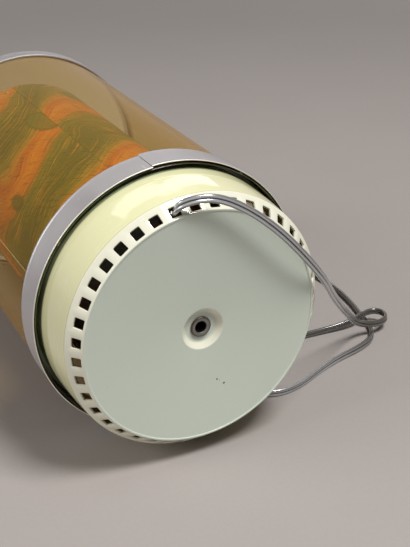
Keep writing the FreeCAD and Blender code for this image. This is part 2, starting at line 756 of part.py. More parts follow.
def cord_pieces():
    """The coil, the stretches before and after it, and the end inside the pan."""
    coil = coil_turns()
    entry, entry_dir = coil[0]
    leave, leave_dir = coil[-1]
    arrive = entry - entry_dir * CORD_D
    depart = leave + leave_dir * CORD_D
    # Each end of the coil runs straight for one diameter.
    edges = [Part.LineSegment(arrive, entry).toShape()]
    for (p, t), (q, u) in zip(coil, coil[1:]):
        edges += biarc(p, t, q, u)
    edges.append(Part.LineSegment(leave, depart).toShape())
    turns = Part.Wire(edges)
    samples = turns.discretize(Distance=2.0)
    near = min((samples[i] - samples[j]).Length
               for i in range(len(samples)) for j in range(i + 12, len(samples)))
    print("coil length", round(turns.Length, 1), "least gap to itself", round(near - CORD_D, 2))

    plug_face = vec(*PLUG_AT)
    front = rounded([vec(*p) for p in FRONT_ROUTE] + [arrive - entry_dir * 17, arrive], "front")
    tail = rounded([depart, depart + leave_dir * 9, plug_face + vec(0, 9, 0), plug_face], "tail")
    inside = rounded([vec(*p) for p in INSIDE_ROUTE], "inside")
    print("cord outside the lamp", round(front.Length + turns.Length + tail.Length, 1))
    return {
        "cord_front": swept(front),
        "cord_coil": swept(turns),
        "cord_tail": swept(tail),
        "cord_inside": swept(inside),
    }


def plug_body():
    """Moulded two-pin plug: a tapered tail, a shoulder and a grip with a hollow in each side."""
    face = vec(*PLUG_AT)
    shoulder = PLUG_TAIL + PLUG_SHOULDER
    waist = (shoulder + PLUG_L) / 2

    def side(sign):
        """One long side of the plan, from the neck to the blades' face."""
        neck = face + vec(sign * PLUG_NECK_R, -PLUG_TAIL, -PLUG_T / 2)
        corner = face + vec(sign * PLUG_W / 2, -shoulder, -PLUG_T / 2)
        hollow = face + vec(sign * (PLUG_W / 2 - PLUG_WAIST), -waist, -PLUG_T / 2)
        end = face + vec(sign * PLUG_W / 2, -PLUG_L, -PLUG_T / 2)
        return neck, [Part.makeLine(neck, corner), Part.Arc(corner, hollow, end).toShape()], end

    left_neck, left, left_end = side(-1)
    right_neck, right, right_end = side(1)
    ends = [Part.makeLine(left_end, right_end), Part.makeLine(right_neck, left_neck)]
    plan = Part.Wire(Part.__sortEdges__(left + right + ends))
    grip = Part.Face(plan).extrude(UP * PLUG_T)
    upright = [e for e in grip.Edges if e.BoundBox.ZLength > PLUG_T / 2]
    grip = grip.makeFillet(PLUG_ROUND, upright)
    grip = grip.makeChamfer(PLUG_ROUND / 2, [e for e in grip.Edges if e.BoundBox.ZLength < 0.01])
    tail = Part.makeCone(PLUG_TAIL_R, PLUG_NECK_R, PLUG_TAIL + 1, face, vec(0, -1, 0))
    return grip.fuse(tail)


def plug_blades():
    """Two flat blades with a round hole near each tip."""
    face = vec(*PLUG_AT)
    blades = []
    for side in (-1, 1):
        corner = face + vec(side * BLADE_SPACING / 2 - BLADE_T / 2, -PLUG_L - BLADE_L, -BLADE_W / 2)
        blade = Part.makeBox(BLADE_T, BLADE_L, BLADE_W, corner)
        tips = [e for e in blade.Edges if e.BoundBox.YMax < corner.y + 0.01 and e.BoundBox.XLength > BLADE_T / 2]
        blade = blade.makeFillet(BLADE_W / 3, tips)
        hole = Part.makeCylinder(1.6, 3 * BLADE_T, corner + vec(-BLADE_T, 4.2, BLADE_W / 2), vec(1, 0, 0))
        blades.append(blade.cut(hole))
    return Part.makeCompound(blades)


PIECES = {
    "base_pan": base_pan,
    "centre_stud": centre_stud,
    "lock_washer": lock_washer,
    "stud_lock_nut": lock_nut,
    "lamp_holder": lamp_holder,
    "terminal_screws": terminal_screws,
    "holder_shell": holder_shell,
    "holder_contact": holder_contact,
    "bulb_glass": bulb_glass,
    "bulb_cap": bulb_cap,
    "bulb_insulator": bulb_insulator,
    "bulb_tip": bulb_tip,
    "bulb_stem": bulb_stem,
    "bulb_supports": bulb_supports,
    "bulb_filament": bulb_filament,
    "bail": bail,
    "needle_holder": needle_holder,
    "needle": needle,
    "drum_cup": drum_cup,
    "drum_fan": drum_fan,
    "drum_sheet": drum_sheet,
    "drum_hoop": drum_hoop,
    "drum_rivets": drum_rivets,
    "shade_film": shade_film,
    "bottom_band": bottom_band,
    "seat_hoop": seat_hoop,
    "top_band": top_band,
}

for name, make in PIECES.items():
    save(name, laid(make()))
for name, shape in cord_pieces().items():
    save(name, shape)
save("plug_body", plug_body())
save("plug_blades", plug_blades())
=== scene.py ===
# %% [markdown]
# # A rotating motion lamp, lying on its side
#
# The lamp has a vented cream base, a clear bulb, a printed drum that turns on a needle in the
# bulb's rising air, and an amber film shade between two aluminium bands. It lies on those bands
# as it did in front of the photographer's camera, with its underside towards us and its twin
# cord on the table. The measured model comes first, as a fixed frame. Everything made here
# takes its place and size from that frame, so no piece is fitted by eye.

# %% Load the frame
import math

import bmesh
import bpy
from mathutils import Matrix, Vector


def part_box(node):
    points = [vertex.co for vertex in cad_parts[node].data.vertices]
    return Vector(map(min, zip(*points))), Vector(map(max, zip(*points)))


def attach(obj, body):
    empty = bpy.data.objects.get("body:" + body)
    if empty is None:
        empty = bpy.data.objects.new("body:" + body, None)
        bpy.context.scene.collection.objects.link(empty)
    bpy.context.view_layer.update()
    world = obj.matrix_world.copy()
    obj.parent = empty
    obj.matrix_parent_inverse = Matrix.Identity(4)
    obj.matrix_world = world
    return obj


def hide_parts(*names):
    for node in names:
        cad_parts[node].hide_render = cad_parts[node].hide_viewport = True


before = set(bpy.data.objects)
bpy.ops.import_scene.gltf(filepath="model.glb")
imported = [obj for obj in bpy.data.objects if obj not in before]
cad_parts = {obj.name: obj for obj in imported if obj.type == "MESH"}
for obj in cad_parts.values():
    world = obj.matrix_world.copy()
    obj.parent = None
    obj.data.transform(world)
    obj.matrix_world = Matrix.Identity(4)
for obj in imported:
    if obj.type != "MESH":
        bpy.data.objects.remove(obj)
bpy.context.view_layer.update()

# %% [markdown]
# ## Where things are on the lamp
#
# Nearly every piece is round about the spindle, so a place on the lamp is an angle, a distance
# from the spindle and a height over the underside. One helper turns those into Blender's X, Y
# and Z. Angles are degrees from the side that lies uppermost, towards -X. Sizes are written in
# millimetres, as a maker would, and turned into Blender's metres at the last moment.

# %% The lamp's own coordinates
MM = 0.001
pan_low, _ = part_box("base_pan")
film_low, film_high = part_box("shade_film")
FOOT_Y = pan_low.y
AXIS_Z = (film_low.z + film_high.z) / 2
SPINDLE = Vector((0, FOOT_Y, AXIS_Z))


def measured(node):
    """A round piece's radius, lower height and upper height, in millimetres."""
    low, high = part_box(node)
    return (high.x - low.x) / 2 / MM, (low.y - FOOT_Y) / MM, (high.y - FOOT_Y) / MM


def place(angle, radius, height):
    """A point of the lamp in Blender's metres, from degrees and millimetres."""
    a = math.radians(angle)
    return SPINDLE + Vector((-radius * math.sin(a), height, radius * math.cos(a))) * MM


SHADE_R, FILM_LOW, FILM_TOP = measured("shade_film")
BAND_R, TOP_BAND_LOW, LENGTH = measured("top_band")
DRUM_R, DRUM_LOW, DRUM_TOP = measured("drum_sheet")
print("spindle at z", round(AXIS_Z, 4), "shade radius", round(SHADE_R, 2), "drum radius", round(DRUM_R, 2))

# %% [markdown]
# ## The camera
#
# The photograph's circles gave the camera: its place, its turn and its focal length. Blender
# counts the lens against a 36 mm sensor laid along the picture's longer side, which is why the
# lens is a plain number here. The turn is written as the three directions that the camera
# calls right, up and back, because those can be read off a photograph's vanishing points.

# %% Camera
CAMERA_PLACE = (-0.2170, -0.5657, 0.3506)
CAMERA_RIGHT = (0.8905, -0.4549, 0.0)
CAMERA_UP = (0.2038, 0.3989, 0.8941)
CAMERA_BACK = (-0.4067, -0.7962, 0.4479)
CAMERA_LENS = 70.47

camera = bpy.data.objects.new("camera", bpy.data.cameras.new("camera"))
camera.data.lens = CAMERA_LENS
camera.data.sensor_width = 36
camera.data.clip_start = 0.01
turn = Matrix((CAMERA_RIGHT, CAMERA_UP, CAMERA_BACK)).transposed()
camera.matrix_world = Matrix.Translation(CAMERA_PLACE) @ turn.to_4x4()
bpy.context.scene.collection.objects.link(camera)
bpy.context.scene.camera = camera
bpy.context.scene.view_settings.view_transform = "Standard"
print("camera looks down by", round(math.degrees(math.asin(CAMERA_BACK[2])), 1), "degrees")

# %% [markdown]
# ## The cord's route
#
# A lamp cord of this age is two wires side by side in one flat jacket. It leaves through a
# vent, bows over the rim, drops to a tight fold on the table, runs in under the shade and comes
# out again towards the coil of spare length. A cord is soft, so its line has no corners: a
# NURBS spline passes near its control points in one smooth sweep. Its order of 3 keeps it close
# to them. The points are in millimetres over the table. Each one's last number is the twist of
# the flat cord in degrees: at 0 it lies flat, at 90 it stands on its edge.

# %% Points of the route
OUT_OF_THE_VENT = [
    (-13.5, -135.2, 145.2, 60), (-14.0, -138.8, 149.6, 60), (-7.4, -141.6, 152.9, 60),
    (5.4, -144.2, 153.0, 72), (22.5, -146.0, 143.5, 86), (40.0, -147.2, 128.4, 94),
    (56.5, -146.6, 110.0, 101), (71.5, -141.0, 92.0, 108), (89.0, -122.5, 71.5, 114),
    (109.0, -104.0, 49.0, 114), (128.0, -86.5, 29.5, 108), (142.0, -75.0, 15.0, 97),
]
FOLD = [
    (152.5, -71.0, 8.8, 86), (162.5, -72.6, 7.6, 80), (171.5, -69.0, 7.6, 80), (174.0, -61.5, 7.6, 80),
    (169.5, -55.8, 7.6, 82), (160.0, -57.0, 7.4, 84), (148.0, -59.0, 4.8, 85), (130.0, -56.6, 2.5, 85),
]
UNDER_THE_LAMP = [
    (106.0, -55.6, 2.3, 85), (84.0, -57.5, 2.3, 86), (66.0, -62.0, 2.3, 87), (53.5, -73.0, 2.3, 86),
    (49.5, -88.0, 2.3, 84), (53.5, -100.5, 2.3, 86), (65.0, -108.0, 2.3, 92), (82.0, -106.0, 2.3, 99),
    (102.0, -96.4, 2.3, 95), (120.0, -89.8, 2.3, 78), (138.0, -85.8, 2.3, 68), (153.0, -79.5, 2.3, 74),
]
TO_THE_COIL = [
    (161.0, -67.0, 2.3, 80), (164.5, -50.0, 2.3, 76), (169.0, -31.0, 2.3, 70), (171.0, -10.0, 2.3, 70),
    (169.5, 12.0, 2.3, 80), (163.5, 34.0, 2.3, 90),
]
CORD_W = 4.6
CORD_T = 2.4
COIL_AT = Vector((125.0, 71.0, 0))
COIL_R = 34.0
COIL_PITCH = 5.2
COIL_TURNS = 3
INTO_COIL = 17.0
INTO_PLUG = 9.0
PLUG_AT = Vector((90.0, 36.0, 6.5))
print("points before the coil", len(OUT_OF_THE_VENT + FOLD + UNDER_THE_LAMP + TO_THE_COIL))

# %% [markdown]
# ## The coil of spare length
#
# The rest of the lead is wound into a flat coil behind the lamp: a spiral inwards on the table,
# half a turn that climbs, and a spiral outwards on top. Its points come from a formula, sixteen
# for each turn, because a hand-placed spiral always wobbles.

# %% Coil and the whole line
POINTS_PER_TURN = 16


def coil_points():
    """Control points of the coil, from its entry on the +X side, turning towards +Y."""
    spin, climb = 2 * math.pi * COIL_TURNS, math.pi
    total = 2 * spin + climb
    # A spline of order 3 runs inside its points, so the points stand a little further out.
    outside = 1 / math.cos(math.pi / POINTS_PER_TURN) ** 2
    points = []
    for k in range(int(total / (2 * math.pi) * POINTS_PER_TURN) + 1):
        a = 2 * math.pi * k / POINTS_PER_TURN
        wound = min(a, spin, total - a) if a <= spin or a >= spin + climb else spin
        rise = min(max((a - spin) / climb, 0), 1)
        radius = (COIL_R - COIL_PITCH * wound / (2 * math.pi)) * outside
        height = CORD_W / 2 + COIL_PITCH * (rise - math.sin(2 * math.pi * rise) / (2 * math.pi))
        points.append(COIL_AT + Vector((radius * math.cos(a), radius * math.sin(a), height)))
    return points


coil = coil_points()
before_coil = [coil[0] - Vector((0, INTO_COIL + CORD_W, 0)), coil[0] - Vector((0, CORD_W, 0))]
after_coil = [coil[-1] - Vector((0, CORD_W + INTO_PLUG, 0)), PLUG_AT + Vector((0, INTO_PLUG, 0)), PLUG_AT]
by_hand = OUT_OF_THE_VENT + FOLD + UNDER_THE_LAMP + TO_THE_COIL
by_formula = before_coil + coil + after_coil
route = [Vector(p[:3]) for p in by_hand] + by_formula
twists = [p[3] for p in by_hand] + [90] * len(by_formula)
print("control points", len(route), "of which in the coil", len(coil))

# %% [markdown]
# ## The cord's jacket
#
# A curve's bevel object is the shape that is drawn along it. Here it is the end view of twin
# cord: two round ribs that meet in a deep groove on each side. The tilt at each point turns
# that shape about the line, as a real flat cord twists to take its bends. The shape itself
# stays out of the scene, because it is a tool and not a piece. Its outline runs clockwise, which
# makes the cord's faces look outwards.

# %% Cord
RIB_R = CORD_T / 2
RIB_AT = CORD_W / 2 - RIB_R
RIB_ARC, RIB_STEPS = 155, 19


def twin_section():
    """Closed outline of twin cord, as a curve that is used for beveling alone."""
    arc = [math.radians(RIB_ARC * (2 * k / RIB_STEPS - 1)) for k in range(RIB_STEPS + 1)]
    right = [(RIB_AT + RIB_R * math.cos(a), RIB_R * math.sin(a)) for a in arc]
    outline = right + [(-x, -y) for x, y in right]
    data = bpy.data.curves.new("cord_section", "CURVE")
    spline = data.splines.new("POLY")
    spline.points.add(len(outline) - 1)
    for point, (x, y) in zip(spline.points, reversed(outline)):
        point.co = (x * MM, y * MM, 0, 1)
    spline.use_cyclic_u = True
    return bpy.data.objects.new("cord_section", data)


cord_data = bpy.data.curves.new("cord", "CURVE")
cord_data.dimensions = "3D"
cord_data.twist_mode = "Z_UP"
cord_data.resolution_u = 8
spline = cord_data.splines.new("NURBS")
spline.points.add(len(route) - 1)
for point, p, twist in zip(spline.points, route, twists):
    point.co = (*(p * MM), 1)
    point.tilt = math.radians(twist)
spline.order_u = 3
spline.use_endpoint_u = True
cord_data.bevel_mode = "OBJECT"
cord_data.bevel_object = twin_section()
cord_data.use_fill_caps = True
cord = bpy.data.objects.new("cord", cord_data)
bpy.context.scene.collection.objects.link(cord)
print("cord length in mm", round(spline.calc_length(resolution=16) / MM, 1))

# %% [markdown]
# ## Floor, world and lamps
#
# A soft lamp overhead gives the main light. Two long panels behind, one level and one leaning,
# stand where the collar mirrors them as its bent bright bar, and a weak lamp on the left lifts
# that side. The world fills in. Their strengths were balanced on the photograph's underside,
# collar and floor. Rays that go straight to the camera, or there by way of metal or clear
# plastic, see a pale backdrop instead of the dim room that lights the lamp, so every view has a
# pale background.

# %% Lights
def area_light(name, place_at, aim_at, width, depth, power, roll=0.0):
    """A rectangle of light. Roll leans it, in degrees, about the line that it shines along."""
    data = bpy.data.lights.new(name, "AREA")
    data.shape = "RECTANGLE"
    data.size, data.size_y, data.energy = width, depth, power
    light = bpy.data.objects.new(name, data)
    back = Vector(place_at) - Vector(aim_at)
    turn = back.to_track_quat("Z", "Y").to_matrix() @ Matrix.Rotation(math.radians(roll), 3, "Z")
    light.matrix_world = Matrix.Translation(place_at) @ turn.to_4x4()
    bpy.context.scene.collection.objects.link(light)


area_light("overhead", (0.33, -0.67, 1.54), (0.0, -0.1, 0.08), 0.50, 0.50, 25.5)
area_light("panel_level", (-0.02, 1.1, 1.10), (-0.02, 0.0, 1.10), 0.82, 0.19, 0.80)
area_light("panel_leaning", (0.65, 1.1, 0.85), (0.65, 0.0, 0.85), 0.73, 0.16, 0.60, roll=44)
area_light("left", (-1.5, 0.1, 0.9), (0.0, -0.1, 0.1), 0.9, 0.9, 12.0)

# %% [markdown]
# ## Writing a material as arithmetic
#
# A material is a small program of nodes. Placing them one by one hides what they work out, so
# one class wraps a node's output and lets it be added, multiplied and divided like a number.
# A second class makes any other node in one call: its type, its settings, then its inputs.

# %% Node arithmetic
class Value:
    """One output socket that can be used in sums."""

    def __init__(self, graph, socket):
        self.graph, self.socket = graph, socket

    def maths(self, operation, *others, swap=False):
        """Any operation of the Math node. Swap puts this value last."""
        terms = [*others, self] if swap else [self, *others]
        return self.graph.node("ShaderNodeMath", {"operation": operation}, dict(enumerate(terms)))

    def __add__(self, other):
        return self.maths("ADD", other)

    def __sub__(self, other):
        return self.maths("SUBTRACT", other)

    def __rsub__(self, other):
        return self.maths("SUBTRACT", other, swap=True)

    def __mul__(self, other):
        return self.maths("MULTIPLY", other)

    def __truediv__(self, other):
        return self.maths("DIVIDE", other)

    def length(self):
        """The length of a vector, as a number."""
        return self.graph.node("ShaderNodeVectorMath", {"operation": "LENGTH"}, {0: self}, out="Value")

    __radd__ = __add__
    __rmul__ = __mul__


class Graph:
    """Makes nodes in a tree and links them."""

    def __init__(self, tree):
        self.tree = tree

    def node(self, kind, settings=None, inputs=None, out=0):
        """Settings come first, because some of them change which inputs a node has."""
        made = self.tree.nodes.new(kind)
        for key, value in (settings or {}).items():
            if key == "stops":
                ramp = made.color_ramp
                for position, colour in value[1:-1]:
                    ramp.elements.new(position)
                for element, (position, colour) in zip(ramp.elements, value):
                    element.position, element.color = position, colour
            else:
                setattr(made, key, value)
        for key, value in (inputs or {}).items():
            if isinstance(value, Value):
                self.tree.links.new(value.socket, made.inputs[key])
            else:
                made.inputs[key].default_value = value
        return Value(self, made.outputs[out]) if made.outputs else None


print("node arithmetic ready")

# %% [markdown]
# ## Patterns that the finishes share
#
# A finish needs somewhere to count from. The lamp's own radius and height come from the object
# coordinates, and a band or an edge is a smooth step between two values. Noise gives the slow
# cloudiness of old plastic, and the same noise stretched gives strokes and scratches.

# %% Finish class
class Finish(Graph):
    """One material round a Principled shader, with the patterns that this lamp needs."""

    def __init__(self, name, **constants):
        self.material = bpy.data.materials.new(name)
        self.material.use_nodes = True
        super().__init__(self.material.node_tree)
        self.shader = self.tree.nodes["Principled BSDF"]
        self.solid = Value(self, self.shader.outputs[0])
        for socket, value in constants.items():
            self.shader.inputs[socket.replace("_", " ")].default_value = value

    def use(self, **links):
        """Links values to the shader's sockets of the same names."""
        for socket, value in links.items():
            self.tree.links.new(value.socket, self.shader.inputs[socket.replace("_", " ")])

    def object_place(self):
        return self.node("ShaderNodeTexCoord", out="Object")

    def unrolled(self):
        return self.node("ShaderNodeUVMap")

    def split(self, vector):
        return [self.node("ShaderNodeSeparateXYZ", None, {0: vector}, out=k) for k in range(3)]

    def pair(self, x, y):
        """Two numbers as a place on a flat sheet."""
        return self.node("ShaderNodeCombineXYZ", None, {"X": x, "Y": y})

    def stretched(self, vector, scale, turn=0.0):
        return self.node("ShaderNodeMapping", None, {
            "Vector": vector, "Scale": scale, "Rotation": (0, 0, turn)})

    def noise(self, vector, scale, detail=4.0, roughness=0.55, distortion=0.0):
        return self.node("ShaderNodeTexNoise", None, {
            "Vector": vector, "Scale": scale, "Detail": detail, "Roughness": roughness,
            "Distortion": distortion})

    def between(self, value, low, high):
        """0 under low and 1 over high, with a smooth step between them."""
        return self.node("ShaderNodeMapRange", {"interpolation_type": "SMOOTHSTEP"}, {
            "Value": value, "From Min": low, "From Max": high})

    def line_at(self, value, where, thin, wide):
        """1 where a value is within thin of a place, falling to 0 at wide."""
        return 1 - self.between((value - where).maths("ABSOLUTE"), thin, wide)

    def ramp(self, value, *stops):
        return self.node("ShaderNodeValToRGB", {"stops": stops}, {0: value})

    def mix(self, share, first, second):
        return self.node("ShaderNodeMix", {"data_type": "RGBA"}, {0: share, 6: first, 7: second}, out=2)

    def bump(self, height, depth, strength):
        return self.node("ShaderNodeBump", None, {
            "Height": height, "Distance": depth * MM, "Strength": strength})

    def rim_gloss(self):
        """How much a thin clear sheet reflects: little face-on and nearly all edge-on."""
        edge_on = self.node("ShaderNodeLayerWeight", None, {"Blend": 0.5}, out="Facing")
        return edge_on.maths("POWER", 5.0) * 0.9 + 0.04

    def blend(self, share, first, second):
        """The material's output becomes a mix of two shaders."""
        mixed = self.node("ShaderNodeMixShader", None, {0: share, 1: first, 2: second})
        self.tree.links.new(mixed.socket, self.tree.nodes["Material Output"].inputs[0])

    def lamp_place(self):
        """Radius from the spindle and height over the underside, in millimetres."""
        x, y, z = self.split(self.object_place())
        up = z - AXIS_Z
        radius = (x * x + up * up).maths("SQRT") / MM
        return radius, (y - FOOT_Y) / MM

    def coat(self, slots):
        """Puts the material on a measured piece that keeps its own shape."""
        for slot in slots:
            slot.material = self.material


def colour(red, green, blue):
    """A colour as a screen shows it, 0 to 255, in the linear numbers that Blender takes."""
    shown = [c / 255 for c in (red, green, blue)]
    return (*[c / 12.92 if c <= 0.04 else ((c + 0.055) / 1.055) ** 2.4 for c in shown], 1)


print("finish helpers ready")

# %% [markdown]
# ## Room and floor
#
# The floor is a plain pale sheet, a little warm and a little violet. Near the lamp it is an
# ordinary surface that takes the lamp's shadow. Far away it fades into the backdrop's own tone,
# so there is no dark line where the sheet ends.

# %% Room
BACKDROP = colour(178, 172, 167)


def seen(graph):
    """1 for rays that show a thing to the camera, straight or by way of metal or clear plastic."""
    straight, mirrored, through = [graph.node("ShaderNodeLightPath", out=f"Is {name} Ray")
                                   for name in ("Camera", "Glossy", "Transmission")]
    return straight.maths("MAXIMUM", mirrored).maths("MAXIMUM", through)


world = bpy.data.worlds.new("room")
world.use_nodes = True
bpy.context.scene.world = world
room = Graph(world.node_tree)
dim = room.node("ShaderNodeBackground", None, {"Color": (0.60, 0.60, 0.62, 1), "Strength": 0.21})
pale = room.node("ShaderNodeBackground", None, {"Color": BACKDROP, "Strength": 1.0})
either = room.node("ShaderNodeMixShader", None, {0: seen(room), 1: dim, 2: pale})
world.node_tree.links.new(either.socket, world.node_tree.nodes["World Output"].inputs[0])

# %% Floor
FLOOR_REACH = 6.0
floor_finish = Finish("floor_paper", Roughness=0.85)
where = floor_finish.object_place()
cloud = floor_finish.noise(where, 9.0, detail=5.0)
fibres = floor_finish.noise(where, 420.0, detail=2.0)
paper = floor_finish.mix(cloud, (0.372, 0.334, 0.312, 1), (0.402, 0.364, 0.340, 1))
floor_finish.use(Base_Color=floor_finish.mix(fibres * 0.3, paper, (0.30, 0.27, 0.25, 1)))
far_off = floor_finish.between(where.length(), 0.75, 2.0) * seen(floor_finish)
glow = floor_finish.node("ShaderNodeEmission", None, {"Color": BACKDROP, "Strength": 1.0})
floor_finish.blend(far_off, floor_finish.solid, glow)
floor_mesh = bpy.data.meshes.new("floor")
corners = [(x * FLOOR_REACH, y * FLOOR_REACH, 0) for x, y in ((-1, -1), (1, -1), (1, 1), (-1, 1))]
floor_mesh.from_pydata(corners, [], [(0, 1, 2, 3)])
floor_mesh.materials.append(floor_finish.material)
floor = bpy.data.objects.new("floor", floor_mesh)
bpy.context.scene.collection.objects.link(floor)
print("floor", FLOOR_REACH * 2, "m across")

# %% [markdown]
# ## Turning an outline into a round piece
#
# Pans, bands, films and bulbs are round, so each starts as an outline of radius and height. The
# Screw modifier could turn it, but a few lines of code do it with full control: they round the
# outline's corners first, as every moulded or pressed part has them, and they write the
# unrolled surface into a UV map, on which prints and brushed lines can run straight.

# %% Round pieces
SHARP = 40


def rounded(outline, size=0.3, steps=3, closed=True):
    """The outline with each corner turned into a small curve. A third number is a corner's own size."""
    count = len(outline)
    smooth = []
    for k, corner in enumerate(outline):
        if not closed and k in (0, count - 1):
            smooth.append(corner[:2])
            continue
        here = Vector(corner[:2])
        before, after = Vector(outline[k - 1][:2]), Vector(outline[(k + 1) % count][:2])
        wanted = corner[2] if len(corner) > 2 else size
        reach = min(wanted, 0.45 * (before - here).length, 0.45 * (after - here).length)
        first, last = here + (before - here).normalized() * reach, here + (after - here).normalized() * reach
        for step in range(steps + 1):
            t = step / steps
            smooth.append(tuple((1 - t) ** 2 * first + 2 * t * (1 - t) * here + t * t * last))
    return smooth


def put_in_scene(name, mesh, sharp=SHARP):
    """Puts a mesh in the scene, at the origin, smooth but for its sharp edges."""
    mesh.name = name
    mesh.shade_smooth()
    mesh.set_sharp_from_angle(angle=math.radians(sharp))
    made = bpy.data.objects.new(name, mesh)
    bpy.context.scene.collection.objects.link(made)
    print(name, len(mesh.polygons), "faces")
    return made


def to_object(name, vertices, faces, finish, unrolled=None):
    """An object from points and faces, with its unrolled surface as a UV map."""
    mesh = bpy.data.meshes.new(name)
    mesh.from_pydata([tuple(v) for v in vertices], [], faces)
    if unrolled:
        layer = mesh.uv_layers.new(name="unrolled")
        flat = [uv for face in unrolled for uv in face]
        layer.uv.foreach_set("vector", [n for uv in flat for n in uv])
    mesh.validate()
    mesh.materials.append(finish.material)
    return put_in_scene(name, mesh)


def turned(name, outline, finish, closed=True, segments=240, first=180.0, lap=None):
    """The piece that an outline of (radius, height) sweeps round the spindle. A strip that is bent
    round and meets itself has a lap: its degrees of turn, its climb and its growth in radius."""
    sweep, climb, growth = lap or (360.0, 0.0, 0.0)
    columns = segments if lap is None else segments + 1
    vertices, rings, along, here = [], [], [], 0.0
    for k, (radius, height) in enumerate(outline):
        if k:
            here += math.dist(outline[k - 1], outline[k])
        along.append(here * MM)
        if radius < 1e-6:
            rings.append([len(vertices)] * columns)
            vertices.append(place(0, 0, height))
            continue
        rings.append(list(range(len(vertices), len(vertices) + columns)))
        for s in range(columns):
            share = s / segments
            vertices.append(place(first + sweep * share, radius + growth * share, height + climb * share))
    around = math.radians(sweep) * max(outline)[0] * MM / segments
    spans = [(k, k + 1, along[k + 1]) for k in range(len(outline) - 1)]
    if closed:
        spans.append((len(outline) - 1, 0, along[-1] + math.dist(outline[-1], outline[0]) * MM))
    faces, unrolled = [], []
    for a, b, far in spans:
        for s in range(segments):
            t = (s + 1) % columns
            corners = [(rings[b][s], s, far), (rings[b][t], s + 1, far),
                       (rings[a][t], s + 1, along[a]), (rings[a][s], s, along[a])]
            face = {vertex: (column * around, length) for vertex, column, length in corners}
            if len(face) > 2:
                faces.append(list(face))
                unrolled.append(list(face.values()))
    if lap:
        for column, order in ((0, -1), (segments, 1)):
            faces.append([ring[column] for ring in rings][::order])
            unrolled.append([(column * around, length) for length in along][::order])
    return to_object(name, vertices, faces, finish, unrolled)


def wall_outline(inside, outside, low, high):
    """A plain wall's outline, for a rolled sheet or a flat ring."""
    return [(inside, low), (outside, low), (outside, high), (inside, high)]


def wall_faces(count, levels):
    """Four-sided faces between levels of closed loops, of count points each."""
    ring = [(k, (k + 1) % count, count + (k + 1) % count, count + k) for k in range(count)]
    return [tuple(n * count + corner for corner in face) for n in range(levels - 1) for face in ring]


print("round pieces ready")

# %% [markdown]
# ## Repeating a shape round the spindle
#
# Forty vents, sixteen fan vanes, six rivets: one of each is modelled at the uppermost side, and
# Geometry Nodes set the copies. The tree makes one point for each copy, puts the shape on every
# point with its own turn, makes the copies real, moves them to the spindle and welds what
# touches. Its inputs are named, so the same tree serves every ring.

# %% Ring tree
def start_tree(name, inputs, output):
    """A Geometry Nodes tree with named inputs and one output. Hands back the graph and its inputs."""
    tree = bpy.data.node_groups.new(name, "GeometryNodeTree")
    for title, kind in inputs.items():
        tree.interface.new_socket(title, in_out="INPUT", socket_type="NodeSocket" + kind)
    tree.interface.new_socket(output, in_out="OUTPUT", socket_type="NodeSocketGeometry")
    g = Graph(tree)
    return g, {title: g.node("NodeGroupInput", out=title) for title in inputs}


def ring_tree():
    g, given = start_tree("ring_round_spindle", {
        "Shape": "Geometry", "Count": "Int", "First Turn": "Float", "Spindle": "Vector",
        "Finish": "Material"}, "Ring")
    points = g.node("GeometryNodePoints", None, {"Count": given["Count"]})
    step = g.node("ShaderNodeMath", {"operation": "DIVIDE"}, {0: 2 * math.pi, 1: given["Count"]})
    turn = g.node("GeometryNodeInputIndex") * step + given["First Turn"]
    turned_by = g.node("ShaderNodeCombineXYZ", None, {"Y": turn})
    copies = g.node("GeometryNodeInstanceOnPoints", None, {
        "Points": points, "Instance": given["Shape"], "Rotation": turned_by})
    real = g.node("GeometryNodeRealizeInstances", None, {0: copies})
    moved = g.node("GeometryNodeTransform", None, {"Geometry": real, "Translation": given["Spindle"]})
    welded = g.node("GeometryNodeMergeByDistance", None, {"Geometry": moved, "Distance": 0.01 * MM})
    coated = g.node("GeometryNodeSetMaterial", None, {"Geometry": welded, "Material": given["Finish"]})
    g.node("NodeGroupOutput", None, {0: coated})
    return g.tree


RING_TREE = ring_tree()


def grown(name, shape, tree, sizes, sharp=SHARP):
    """Runs a tree on an object, keeps the result as a plain mesh and drops the modifier."""
    modifier = shape.modifiers.new(name, "NODES")
    modifier.node_group = tree
    for item in tree.interface.items_tree:
        if item.item_type == "SOCKET" and item.in_out == "INPUT" and item.name in sizes:
            modifier[item.identifier] = sizes[item.name]
    result = shape.evaluated_get(bpy.context.evaluated_depsgraph_get())
    mesh = bpy.data.meshes.new_from_object(result)
    shape.modifiers.remove(modifier)
    bpy.data.objects.remove(shape)
    return put_in_scene(name, mesh, sharp)


def ring_of(name, vertices, faces, count, first, finish):
    """Copies of a shape round the spindle. It is given in millimetres: across, height, radius."""
    shape = to_object(name + "_one", [Vector(v) * MM for v in vertices], faces, finish)
    return grown(name, shape, RING_TREE, {
        "Count": count, "First Turn": math.radians(-first), "Spindle": SPINDLE, "Finish": finish.material})


def joined(name, *parts):
    """Several objects as one, with their touching edges welded."""
    with bpy.context.temp_override(active_object=parts[0], selected_editable_objects=list(parts)):
        bpy.ops.object.join()
    whole = parts[0]
    whole.name = whole.data.name = name
    mesh = bmesh.new()
    mesh.from_mesh(whole.data)
    bmesh.ops.remove_doubles(mesh, verts=mesh.verts, dist=0.005 * MM)
    mesh.to_mesh(whole.data)
    mesh.free()
    whole.data.set_sharp_from_angle(angle=math.radians(SHARP))
    return whole


print("ring tree has", len(RING_TREE.nodes), "nodes")

# %% [markdown]
# ## The base's plastic
#
# The base is one cream moulding that has yellowed where the light and the bulb's warmth reached
# it. The collar is the yellowest, the underside stayed a cooler grey, and the narrow band with
# the vents is the palest. One material does all three, by radius and height, so there is no
# seam between them. Slow noise clouds the colour, fine noise breaks up the gloss, and a few
# dark specks sit where the photograph has them.

